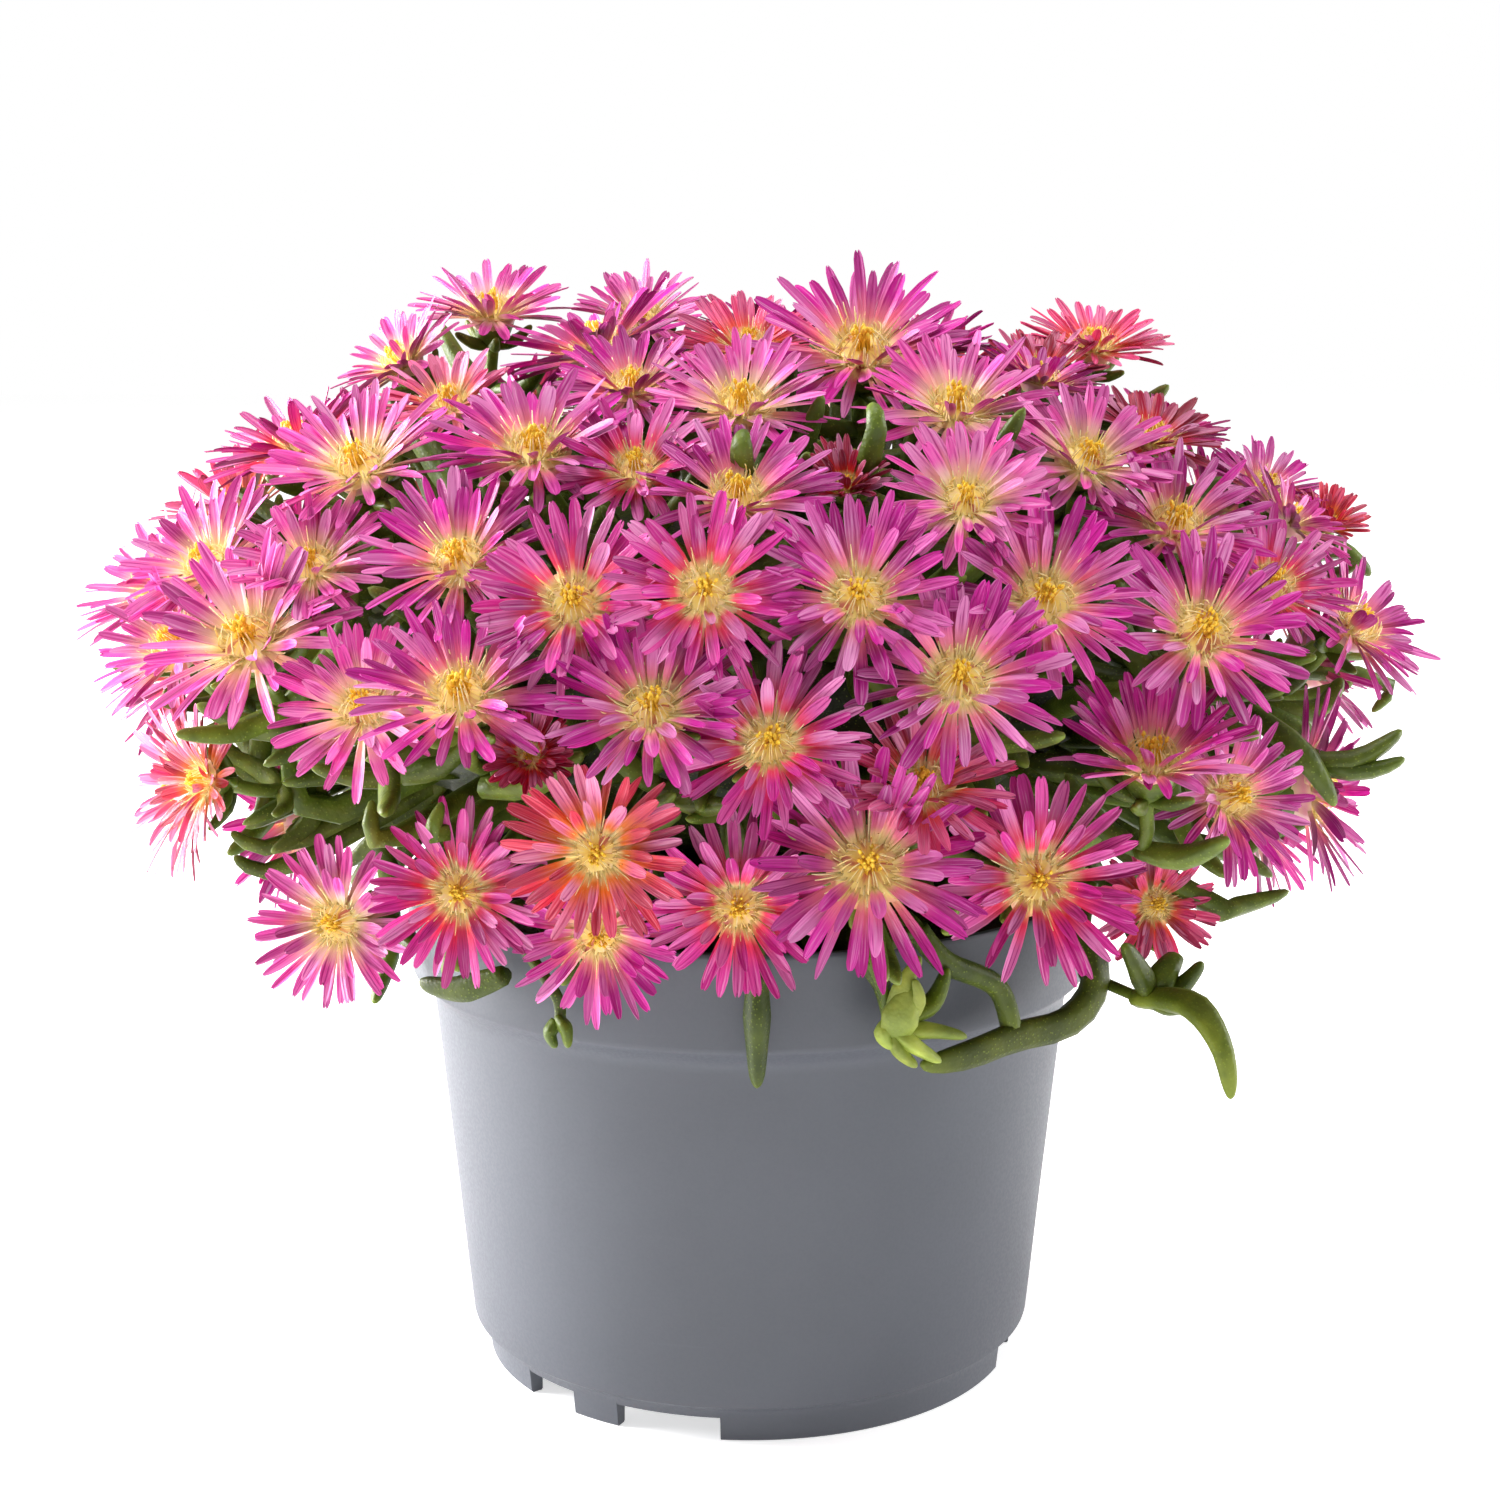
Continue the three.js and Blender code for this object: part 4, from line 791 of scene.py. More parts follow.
def colour_property(name, description, default):
    """A colour property whose default is an sRGB hex value turned to linear."""
    return FloatVectorProperty(
        name=name,
        description=description,
        subtype="COLOR",
        size=3,
        min=0,
        max=1,
        default=tuple(float(c) for c in linear(default)),
    )


def length_property(name, description, default):
    """A length in millimetres."""
    return FloatProperty(name=name, description=description + ", in mm", default=default, min=0.01)


def count_property(name, description, default, least=3):
    """A number of pieces."""
    return IntProperty(name=name, description=description, default=default, min=least)


def light_property(name, description, default):
    """A power or strength of light."""
    return FloatProperty(name=name, description=description, default=default, min=0)


class IcePlantBloomShape(PropertyGroup):
    """Sizes of a bloom: whorls of petals, and the eye."""

    outer_petals: count_property("Outer petals", "Petals in a bloom's outer whorl", 22)
    middle_petals: count_property("Middle petals", "Petals in its middle whorl", 19)
    inner_petals: count_property("Inner petals", "Short petals nearest the eye", 12)
    petal_width: length_property("Petal width", "Width of a petal of a bloom of 16 mm radius", 2.1)
    petal_thickness: length_property("Petal thickness", "Thickness at a petal's root", 0.4)
    stamens: count_property("Stamens", "Yellow stamens in the middle of the eye", 30)
    filaments: count_property("Filaments", "Pale threads that lie out over the petals", 50)
    dome_filaments: count_property("Dome filaments", "Pale threads that close over the stamens", 26)


class IcePlantLeafShape(PropertyGroup):
    """Sizes of the leaves and stalks."""

    leaves: count_property("Leaves", "Leaves that stand out of the plant's middle", 230)
    low_leaves: count_property("Low leaves", "Leaves that rise from the soil under the middle", 84)
    leaf_length: length_property("Leaf length", "Length of a leaf", 30)
    leaf_radius: length_property("Leaf radius", "Radius of a leaf at its thickest", 2.5)
    stalk_radius: length_property("Stalk radius", "Radius of a bloom's stalk", 1.3)
    pairs: count_property("Leaf pairs", "Pairs of leaves on a bloom's stalk", 2, 0)


class IcePlantPotShape(PropertyGroup):
    """Sizes of the pot that its profile is drawn from."""

    wall: length_property("Wall", "Thickness of the pot's wall", 1.7)
    segments: count_property("Segments", "Faces round the pot", 180, 36)
    drain_radius: length_property("Drain hole radius", "Radius of a hole in the floor", 4)


class IcePlantColours(PropertyGroup):
    """Colours of petals, leaves, pot and soil."""

    petal_root: colour_property("Petal root", "Colour at a petal's root", "#ffeeaa")
    rose: colour_property("Rose tip", "Petal tips of rose blooms", "#de4aa6")
    violet: colour_property("Violet tip", "Petal tips of violet blooms", "#c61c94")
    magenta: colour_property("Magenta tip", "Petal tips of magenta blooms", "#c6288c")
    salmon: colour_property("Salmon tip", "Petal tips of salmon blooms", "#ee6a98")
    coral: colour_property("Coral tip", "Petal tips of coral blooms", "#e4447a")
    orange: colour_property("Orange tip", "Petal tips of orange blooms", "#d43c54")
    crimson: colour_property("Crimson tip", "Petal tips of half-open blooms", "#a8143c")
    stamen: colour_property("Stamen", "Colour of the stamens' pollen", "#ffd640")
    filament: colour_property("Filament", "Colour of the pale threads", "#fffac8")
    leaf: colour_property("Leaf", "Main green of the leaves", "#3c4c12")
    leaf_pale: colour_property("Leaf light", "Lighter green of the leaves", "#849638")
    stem: colour_property("Stem", "Main green of the trailing stems", "#3a4a0e")
    stem_pale: colour_property("Stem light", "Lighter green of the trailing stems", "#768626")
    pot: colour_property("Pot", "Grey of the pot", "#4b4e56")
    soil: colour_property("Soil", "Brown of the soil", "#3a2a20")
    floor: colour_property("Floor", "Colour of the floor and backdrop", "#f7f7f7")


class IcePlantStage(PropertyGroup):
    """The stage's sizes and light."""

    floor_size: FloatProperty(
        name="Floor", description="Side of the floor", default=6.0, min=1, unit="LENGTH",
    )
    key_power: light_property("Key light", "Power of the soft light from the left", 56.0)
    fill_power: light_property("Fill light", "Power of the soft light from the right", 12.5)
    top_power: light_property("Top light", "Power of the soft light from above", 13.0)
    surround: light_property("Surround", "Strength of the pale light all round", 0.4)


PROPERTY_GROUPS = {
    "ice_plant_bloom": IcePlantBloomShape,
    "ice_plant_leaf": IcePlantLeafShape,
    "ice_plant_pot": IcePlantPotShape,
    "ice_plant_colours": IcePlantColours,
    "ice_plant_stage": IcePlantStage,
}

# The halo between a petal's cream root and its tip, for each tone
HALOS = {
    "rose": "#ffc2b4",
    "violet": "#f4849e",
    "magenta": "#f2486a",
    "salmon": "#f89c80",
    "coral": "#f46650",
    "orange": "#f58228",
    "crimson": "#d8302c",
}


# Petals

# Rows of the seen blooms that are half open, and the degrees that their petals stand up more.
# So many degrees would close a bloom's disc
HALF_OPEN = {21: 24, 43: 24, 48: 24, 49: 14}
CLOSED = 60

# The outer, middle and inner whorl: degrees that petals stand up by and bend by on their way,
# length as a share of the bloom's, and the whorl's turn in shares of the way between petals
WHORLS = ((13, -5, 1.11, 0.0), (28, -5, 1.08, 0.33), (46, -8, 0.78, 0.66))

# Seeded spread from petal to petal: of the place in shares of the way between petals, of lift and
# bend in degrees, and of the other values in shares
PLACE_SPREAD = (-0.3, 0.3)
LIFT_SPREAD = (-9, 9)
BEND_SPREAD = (-15, 13)
LENGTH_SPREAD = (-0.14, 0.05)
WIDTH_SPREAD = (-0.24, 0.2)
DRIFT_SPREAD = (-0.09, 0.09)
NARROWING_SPREAD = (0.1, 0.65)
CUPPED_SPREAD = (0.0, 0.55)
ROLL_SPREAD = (-0.5, 0.5)
# The last spread darkens or lightens a petal's colours: partly their own tone, partly painted light and
# shade from petal to petal
TONE_AND_LIGHT_SPREAD = (-0.36, 0.26)

# Stations along a petal, and its section: thin edges, two flat ribs with a groove between them,
# and the underside
PETAL_STATIONS = np.array([0, 0.14, 0.34, 0.56, 0.76, 0.9, 0.97, 1.0])
PETAL_ACROSS = np.array([-1, -0.55, 0, 0.55, 1, 0])
PETAL_HEIGHT = np.array([0.12, 0.5, 0.0, 0.5, 0.12, -0.5])
PETAL_MIDDLE = PETAL_ACROSS == 0
# Share of the solids' ring that the petals start from
PETAL_RING = 0.72
# Shares of a petal's length where it is widest, and where its tip's rounding begins
PETAL_WIDEST = 0.68
PETAL_ROUNDED = 0.86
# Deepest notch in a petal's tip, in millimetres
NOTCH_DEPTH = 0.9

# Shares of a bloom's radius: how far above its centre its eye lies, the room round that which
# others' petals keep out of, and how far those can reach. The degrees that a petal turns by to
# do so, and what each degree counts against the clearance
EYE_RISE = 0.12
EYE_ROOM = 0.5
PETAL_REACH = 1.3
LIFT_TRIES = (0, 8, -8, 16, -16, 26, -24, 38, 50)
DEGREE_COST = 0.001


def petal_table(bloom, index, shape, random):
    """Each petal's way round, lift, bend, length and width, whorl by whorl, with seeded spread.
    Outer petals lie flat and long, inner ones stand up and are short."""
    rows = []
    phase = draw(index, PHASE_DRAW) * 3
    width = shape.petal_width * (bloom["radius"] / COMMON_RADIUS) ** 0.6
    counts = (shape.outer_petals, shape.middle_petals, shape.inner_petals)
    for count, (lift, bend, length, turn) in zip(counts, WHORLS):
        places = np.arange(count) + turn + random.uniform(*PLACE_SPREAD, count)
        opened = lift + HALF_OPEN.get(index, 0)
        rows.append(np.stack([
            places * (FULL_TURN / count) + phase,
            np.radians(opened + random.uniform(*LIFT_SPREAD, count)),
            np.radians(bend + random.uniform(*BEND_SPREAD, count)),
            length * (1 + random.uniform(*LENGTH_SPREAD, count)),
            width * (1 + random.uniform(*WIDTH_SPREAD, count)),
        ], -1))
    return np.concatenate(rows)


def petal_lines(bloom, table, drift):
    """Centre lines of petals. A line starts on the ring, its slope changes evenly from lift to lift
    plus bend, and it drifts sideways by the square of its share of the length."""
    ways, lifts, bends, lengths = (table[:, i:i + 1] for i in range(4))
    out = np.cos(ways) * bloom["side"] + np.sin(ways) * bloom["up"]
    sideways = np.cos(ways) * bloom["up"] - np.sin(ways) * bloom["side"]
    ring = RING_SHARE * bloom["radius"] * PETAL_RING
    full = (bloom["radius"] - ring) * lengths
    slope = lifts + bends * PETAL_STATIONS
    step = np.diff(PETAL_STATIONS)
    mean = (slope[:, 1:] + slope[:, :-1]) / 2
    zero = np.zeros((len(table), 1))
    travel = np.concatenate([zero, np.cumsum(np.cos(mean) * step, axis=1)], axis=1) * full
    climb = np.concatenate([zero, np.cumsum(np.sin(mean) * step, axis=1)], axis=1) * full
    start = 0.1 * bloom["radius"] * lifts
    return (bloom["centre"] + out[:, None] * (ring + travel[..., None])
            + sideways[:, None] * (drift * full * PETAL_STATIONS ** 2)[..., None]
            + bloom["axis"] * (climb + start)[..., None])


def keep_off_eyes(bloom, blooms, table, drift):
    """Turns each petal up or down by the smallest of a few angles that keeps its line out of the
    other blooms' eyes, or by the one that keeps it furthest out."""
    others = [other for other in blooms if other is not bloom]
    eyes = np.array([b["centre"] + EYE_RISE * b["radius"] * b["axis"] for b in others])
    reach = np.array([EYE_ROOM * other["radius"] for other in others])
    near = np.linalg.norm(eyes - bloom["centre"], axis=1) < PETAL_REACH * bloom["radius"] + reach
    eyes = eyes[near]
    reach = reach[near]
    if not len(eyes):
        return
    clearances = []
    for turn in LIFT_TRIES:
        tried = table.copy()
        tried[:, 1] += math.radians(turn)
        lines = petal_lines(bloom, tried, drift)
        gaps = np.linalg.norm(lines[:, :, None] - eyes, axis=3) / reach
        clearances.append(np.minimum(gaps.min(axis=(1, 2)), 1) - DEGREE_COST * abs(turn))
    best = np.argmax(np.array(clearances), axis=0)
    table[:, 1] += np.radians(np.array(LIFT_TRIES))[best]


def petal_strands(bloom, blooms, index, shape, random):
    """Centre lines, sides and sections of a bloom's petals. A petal's half width grows by a
    quarter wave to where it is widest, narrows from there by a seeded share of a power curve, and
    is rounded off at the tip by a near ellipse. The edges curl up by the square of the way out."""
    table = petal_table(bloom, index, shape, random)
    drift = random.uniform(*DRIFT_SPREAD, (len(table), 1))
    keep_off_eyes(bloom, blooms, table, drift)
    centres = petal_lines(bloom, table, drift)
    ways, widths = table[:, 0:1], table[:, 4:5]
    sideways = np.cos(ways) * bloom["up"] - np.sin(ways) * bloom["side"]
    growth = np.sin(np.minimum(PETAL_STATIONS / PETAL_WIDEST, 1) * math.pi / 2)
    half = widths / 2 * (0.3 + 0.7 * growth)
    beyond = np.clip((PETAL_STATIONS - PETAL_WIDEST) / (1 - PETAL_WIDEST), 0, 1)
    half = half * (1 - random.uniform(*NARROWING_SPREAD, (len(table), 1)) * beyond ** 1.5)
    end = np.clip((PETAL_STATIONS - PETAL_ROUNDED) / (1 - PETAL_ROUNDED), 0, 1)
    half = half * np.sqrt(1 - 0.8 * end ** 2.5)
    thick = shape.petal_thickness * (1 - 0.4 * PETAL_STATIONS)
    cupped = random.uniform(*CUPPED_SPREAD, (len(table), 1, 1)) * np.abs(PETAL_ACROSS) ** 2
    section = np.stack([
        half[..., None] * PETAL_ACROSS,
        thick[None, :, None] * PETAL_HEIGHT + half[..., None] * cupped,
    ], axis=-1)
    roll = random.uniform(*ROLL_SPREAD, (len(table), 1))
    side = sideways * np.cos(roll) + bloom["axis"] * np.sin(roll)
    return centres, side, section


def notch_tips(corners, centres, random):
    """Draws the middle corners of each petal's last ring back by a seeded depth, as a notch."""
    back = unit(centres[:, -2] - centres[:, -1])
    depth = random.uniform(0, NOTCH_DEPTH, (len(centres), 1)) ** 1.5
    corners[:, -1, PETAL_MIDDLE] += (back * depth)[:, None]


def bloom_petals(made, bloom, blooms, index, bloom_shape, colours):
    """Adds one bloom's petals in its tone's colours, darker or lighter from petal to petal, partly by their
    own tone and partly as painted light and shade, a few of them pale at the tip, partly their own paleness
    and partly a painted highlight."""
    random = seeded("petals", index)
    centres, side, section = petal_strands(bloom, blooms, index, bloom_shape, random)
    corners = sweep(centres, side, section)
    notch_tips(corners, centres, random)
    strands, rings, sides = section.shape[:3]
    # Each petal's colours darker or lighter by a seeded share: partly their own tone, partly painted light
    # and shade
    shade = 1 + random.uniform(*TONE_AND_LIGHT_SPREAD, (strands, 1))
    tip = np.array(getattr(colours, bloom["tone"])) * shade
    # A few petals paled towards pink-white: partly their own paler tips, partly a painted highlight
    tip = tip + (linear("#fcb4e2") - tip) * 0.55 * random.random((strands, 1)) ** 3
    halo = linear(HALOS[bloom["tone"]]) * shade
    quads, caps = tube_faces(strands, rings, sides)
    uvs = tube_uvs(strands, rings, sides)
    uvs[:, 0] = np.interp(uvs[:, 0], np.linspace(0, 1, rings), PETAL_STATIONS)
    repeat = rings * sides
    made.add(
        corners.reshape(-1, 3), [quads, caps], uvs,
        tip=np.repeat(np.clip(tip, 0, 1), repeat, axis=0),
        halo=np.repeat(np.clip(halo, 0, 1), repeat, axis=0),
    )


# The eye's disc: radii and heights as shares of the ring's radius, from under the petals up over
# the rim to the middle, and each of its circles' share of the halo, of golden yellow and of the
# tip's colour
BOWL_PROFILE = np.array([
    [0.12, -1.05], [0.8, -0.55], [1.15, 0.0], [1.34, 0.24],
    [1.08, 0.27], [0.8, 0.36], [0.42, 0.48], [0.1, 0.44],
])
BOWL_HALO = np.array([1, 1, 0.7, 0.25, 0.0, 0, 0, 0])
BOWL_GOLD = np.array([0, 0, 0, 0, 0.1, 0.3, 0.7, 0.9])
BOWL_TIP = np.array([0.9, 0.8, 0.5, 0.15, 0, 0, 0, 0])
BOWL_SIDES = 20


def bowl(made, bloom, index, colours):
    """Adds the pale disc under the stamens: rings by the profile round the bloom's axis, the rim
    waved by two sines, closed by the cup below and a small end above."""
    angle = FULL_TURN * np.arange(BOWL_SIDES) / BOWL_SIDES
    circle = np.cos(angle)[:, None] * bloom["side"] + np.sin(angle)[:, None] * bloom["up"]
    wave = 1 + 0.05 * np.sin(5 * angle + index) + 0.04 * np.sin(8 * angle + 2 * index)
    profile = BOWL_PROFILE * RING_SHARE * bloom["radius"] * (1 - HALF_OPEN.get(index, 0) / CLOSED)
    reach = profile[:, None, 0:1] * np.where(BOWL_PROFILE[:, 0] > 1, wave[:, None], 1).T[..., None]
    corners = bloom["centre"] + circle * reach + bloom["axis"] * profile[:, None, 1:2]
    rings = len(profile)
    quads, caps = tube_faces(1, rings, BOWL_SIDES)
    tint = np.tile(np.array(colours.petal_root), (rings, 1))
    tint += (linear(HALOS[bloom["tone"]]) - tint) * BOWL_HALO[:, None]
    tint += (linear("#fcd640") - tint) * BOWL_GOLD[:, None]
    tint += (np.array(getattr(colours, bloom["tone"])) - tint) * BOWL_TIP[:, None]
    tint = np.repeat(tint, BOWL_SIDES, axis=0)
    made.add(corners.reshape(-1, 3), [quads, caps], tube_uvs(1, rings, BOWL_SIDES), tip=tint, halo=tint)


# Stamens and filaments

THREAD_STATIONS = np.array([0, 0.4, 0.75, 1.0])
THREAD_TAPER = np.array([1, 0.85, 0.6, 0.3])

# Threads of the eye, in shares of the bloom's radius: how far from its axis they start and end,
# how high they rise, and how far their middles swell out
OUTER_FILAMENTS = ((0.14, 0.27), (0.26, 0.52), (0.16, 0.3), (0, 0.04))
DOME_FILAMENTS = ((0.14, 0.26), (0.06, 0.22), (0.26, 0.36), (0.03, 0.08))
STAMENS = ((0.0, 0.1), (-0.02, 0.13), (0.22, 0.34), (0, 0.02))
# Radii of the threads, and half lengths along and radii of a pollen head, in millimetres for a
# bloom of the common radius
OUTER_THREAD = 0.2
DOME_THREAD = 0.19
STAMEN_THREAD = 0.17
HEAD_ALONG = np.array([-0.5, 0, 0.5]) * 1.15
HEAD_RADII = np.array([0.2, 0.38, 0.16])


def eye_threads(bloom, random, count, root, end, height, bulge):
    """Centre lines of threads of the eye. Ranges are shares of the bloom's radius: how far from
    its axis a thread starts and ends, how high it rises, and how far its middle swells out."""
    radius = bloom["radius"]
    ways = FULL_TURN * (np.arange(count) + random.uniform(-0.45, 0.45, count)) / count
    out = np.cos(ways)[:, None] * bloom["side"] + np.sin(ways)[:, None] * bloom["up"]
    near = random.uniform(*root, (count, 1)) * radius
    far = random.uniform(*end, (count, 1)) * radius
    rise = random.uniform(*height, (count, 1)) * radius
    swell = random.uniform(*bulge, (count, 1)) * radius
    base = bloom["centre"] + out * near + bloom["axis"] * 0.08 * radius
    middle = bloom["centre"] + out * (0.5 * near + 0.5 * far + swell) + bloom["axis"] * 0.6 * rise
    tip = bloom["centre"] + out * far + bloom["axis"] * rise
    return resample(np.stack([base, middle, tip], axis=1), THREAD_STATIONS)


def add_threads(made, lines, thickness, tint):
    """Adds threads as three-sided strands that taper from root to tip."""
    radii = np.broadcast_to(thickness * THREAD_TAPER, lines.shape[:2])
    made.add_strands(lines, any_side(lines[:, -1] - lines[:, 0]), round_section(radii, 3), tip=tint)


def bloom_filaments(made, bloom, index, bloom_shape, colours):
    """Adds a bloom's pale filaments: outer ones lie out over the petals' roots, and inner ones
    close over the bowl in a dome."""
    random = seeded("filaments", index)
    size = bloom["radius"] / COMMON_RADIUS
    pale = np.array(colours.filament)
    yellow = np.array(colours.stamen)
    for count, ranges, thickness, yellowing in (
        (bloom_shape.filaments, OUTER_FILAMENTS, OUTER_THREAD, (0, 0.3)),
        (bloom_shape.dome_filaments, DOME_FILAMENTS, DOME_THREAD, (0.1, 0.6)),
    ):
        lines = eye_threads(bloom, random, count, *ranges)
        tint = pale + (yellow - pale) * random.uniform(*yellowing, (len(lines), 1))
        add_threads(made, lines, thickness * size, tint)


def bloom_stamens(made, bloom, index, bloom_shape, colours):
    """Adds a bloom's yellow stamens, which stand in a tuft with longish pollen heads."""
    random = seeded("stamens", index)
    size = bloom["radius"] / COMMON_RADIUS
    yellow = np.array(colours.stamen)
    lines = eye_threads(bloom, random, bloom_shape.stamens, *STAMENS)
    add_threads(made, lines, STAMEN_THREAD * size, np.repeat(yellow[None], len(lines), axis=0))
    run = unit(lines[:, -1] - lines[:, -2] + random.uniform(-0.15, 0.15, (len(lines), 3)))
    heads = lines[:, -1][:, None] + run[:, None] * (HEAD_ALONG * size)[:, None]
    radii = np.broadcast_to(HEAD_RADII * size, (len(lines), 3))
    shade = yellow * (1 + random.uniform(-0.2, 0.1, (len(lines), 1)))
    made.add_strands(heads, any_side(run), round_section(radii, 4), tip=np.clip(shade, 0, 1))


# Leaves, stalks and stems

LEAF_STATIONS = np.array([0, 0.14, 0.3, 0.48, 0.64, 0.78, 0.89, 0.965, 1.0])
LEAF_SIDES = 8
# Leaves and stems that hang over the rim show from near, so they are finer
LONG_STATIONS = np.array([
    0, 0.07, 0.15, 0.23, 0.31, 0.39, 0.47, 0.55, 0.63, 0.71, 0.79, 0.86, 0.92, 0.96, 0.985, 1.0,
])
LONG_SIDES = 12
STEM_STATIONS = np.linspace(0, 1, 18)

# Shares of a leaf's radius at its root, at its fullest and at its tip before rounding
LEAF_TAPER = (0.7, 1.0, 0.45)
RUN_TAPER = (0.8, 1.0, 0.85)
# How much fuller a leaf's section is at its three corners
LEAF_CORNERS = 0.15
# Shares of the green: of leaves of the middle and low ones, the low ones darker as painted shade under the
# blooms, of stalks and cups, and of the body, dark as painted shade deep inside the plant, and the trunk
CORE_LIGHT = 0.75
LOW_LEAF_SHADE = 0.7
STALK_LIGHT = 0.85
CUP_LIGHT = 0.95
BODY_PAINTED_SHADE = 0.22
TRUNK_LIGHT = 0.4
# Squares of the distances from the axis, in millimetres, between which the low leaves stand
LOW_LEAF_REACH = (12 ** 2, 40 ** 2)
# Share of a bloom's radius round its eye that leaves keep out of, and the part of it that they
# keep out of before the eye of a seen bloom
LEAF_ROOM = 0.6
SIGHT_ROOM = 0.8


def leaf_radii(radius, stations, taper):
    """A leaf's radius along its length: it grows from the root to its fullest two fifths of the
    way, narrows evenly, and is rounded off over the last fifth by a quarter of an ellipse."""
    full = np.interp(stations, [0, 0.4, 1], taper)
    end = np.clip((stations - 0.8) / 0.2, 0, 1)
    return np.asarray(radius)[:, None] * full * np.sqrt(1 - 0.985 * end ** 2)


def add_leaves(
    made, routes, radius, random, light=1.0, taper=LEAF_TAPER, stations=LEAF_STATIONS, sides=LEAF_SIDES,
):
    """Adds fleshy leaves along routes (n, p, 3): sections are rounded triangles, and each leaf has
    its own light or dark share of the green, paler and yellower where light is over 1."""
    lines = resample(routes, stations)
    side = any_side(lines[:, -1] - lines[:, 0])
    section = round_section(leaf_radii(radius, stations, taper), sides, LEAF_CORNERS)
    shade = light * (0.75 + 0.4 * random.random((len(lines), 1)))
    young = max(light - 1, 0)
    warm = np.array([1 + 0.13 * young, 1.0, 0.9 + 0.7 * young])
    warm = warm + random.uniform(-0.06, 0.06, (len(lines), 3))
    made.add_strands(lines, side, section, tip=shade * warm)


def off_the_eyes(routes, radii, blooms):
    """Keeps only the leaves whose outer half stays out of every bloom's eye and petal roots, and
    doesn't stand between the viewpoint and the eye of a seen bloom."""
    outer = resample(routes, [0.5, 0.75, 1.0])
    eyes = np.array([bloom["centre"] + 0.2 * bloom["radius"] * bloom["axis"] for bloom in blooms])
    reach = np.array([LEAF_ROOM * bloom["radius"] for bloom in blooms])
    gaps = np.linalg.norm(outer[:, :, None] - eyes, axis=3) / reach
    seen = eyes[:len(SEEN_BLOOMS)] - VIEWPOINT
    sights = unit(seen)
    ahead = np.sum((outer[:, :, None] - VIEWPOINT) * sights, axis=3)
    beside = np.linalg.norm(outer[:, :, None] - VIEWPOINT - ahead[..., None] * sights, axis=3)
    hides = (ahead < np.linalg.norm(seen, axis=1)) & (beside < SIGHT_ROOM * reach[:len(seen)])
    clear = (gaps.min(axis=(1, 2)) > 1) & ~hides.any(axis=(1, 2))
    return routes[clear], radii[clear]


def core_leaf_routes(leaf_shape, random):
    """Routes of leaves that stand out of the core by the golden angle, leaning by seeded draws and
    curving up towards their tips."""
    count = leaf_shape.leaves
    i = np.arange(count)
    height = 1 - 1.6 * (i + 0.5) / count
    azimuth = i * GOLDEN_ANGLE
    flat = np.sqrt(1 - height * height)
    vertical = np.where(height > 0, CORE["up"], CORE["down"])
    power = CORE["roundness"]
    size = (flat ** power + np.abs(height) ** power) ** (-1 / power)
    out = np.stack([flat * np.cos(azimuth), flat * np.sin(azimuth), height], -1)
    east = np.stack([-np.sin(azimuth), np.cos(azimuth), np.zeros(count)], -1)
    north = np.cross(out, east)
    root = np.stack([out[:, 0] * CORE["width"], out[:, 1] * CORE["depth"], out[:, 2] * vertical], -1)
    root = root * (size * 0.9)[:, None] + np.array([0, 0, CORE["middle"]])
    length = leaf_shape.leaf_length * (1 + random.uniform(-0.2, 0.2, (count, 1)))
    heading = random.uniform(0, FULL_TURN, (count, 1))
    run = unit(out + 0.7 * np.cos(heading) * east + 0.7 * np.sin(heading) * north)
    middle = root + run * 0.55 * length
    tip = root + run * length + out * 0.14 * length
    return np.stack([root, middle, tip], axis=1)


def low_leaf_routes(leaf_shape, random):
    """Routes of leaves that rise from the soil round the trunk by the golden angle, lean out under
    the blooms and fill the room between the soil and the plant's middle."""
    count = leaf_shape.low_leaves
    azimuth = np.arange(count) * GOLDEN_ANGLE
    out = np.stack([np.cos(azimuth), np.sin(azimuth), np.zeros(count)], -1)
    beside = np.stack([-np.sin(azimuth), np.cos(azimuth), np.zeros(count)], -1)
    up = np.array([0, 0, 1.0])
    away = np.sqrt(np.linspace(*LOW_LEAF_REACH, count))[:, None]
    root = away * out + up * (SOIL_LEVEL - 2)
    length = leaf_shape.leaf_length * (1 + random.uniform(-0.15, 0.15, (count, 1)))
    lean = random.uniform(0.5, 0.8, (count, 1))
    run = unit(lean * out + up * 0.8 + beside * random.uniform(-0.35, 0.35, (count, 1)))
    middle = root + (run - 0.16 * out) * 0.5 * length
    tip = root + run * length
    return np.stack([root, middle, tip], axis=1)


def add_core(made):
    """Adds the plant's leafy middle: a rounded body, dark green as painted shade deep among the leaves, its
    radius by a power sum of height and reach, with leaf-sized bumps from products of sines."""
    rings, sides = 36, 64
    polar = np.linspace(0.02, math.pi - 0.02, rings)[:, None]
    turn = FULL_TURN * np.arange(sides)[None, :] / sides
    z = -np.cos(polar)
    flat = np.sin(polar)
    power = CORE["roundness"]
    size = (flat ** power + np.abs(z) ** power) ** (-1 / power)
    bump = 0.93 + 0.05 * np.sin(17 * turn + 9 * z) * np.sin(23 * z + 5 * turn) * flat
    vertical = np.where(z > 0, CORE["up"], CORE["down"])
    corners = np.stack([
        flat * size * bump * CORE["width"] * np.cos(turn),
        flat * size * bump * CORE["depth"] * np.sin(turn),
        CORE["middle"] + z * size * bump * vertical,
    ], -1).reshape(-1, 3)
    quads, caps = tube_faces(1, rings, sides)
    # Painted shade: the body is painted the dark green of the shade inside the plant
    tint = np.full((len(corners), 3), BODY_PAINTED_SHADE)
    made.add(corners, [quads, caps], tube_uvs(1, rings, sides) * 0.5, tip=tint)


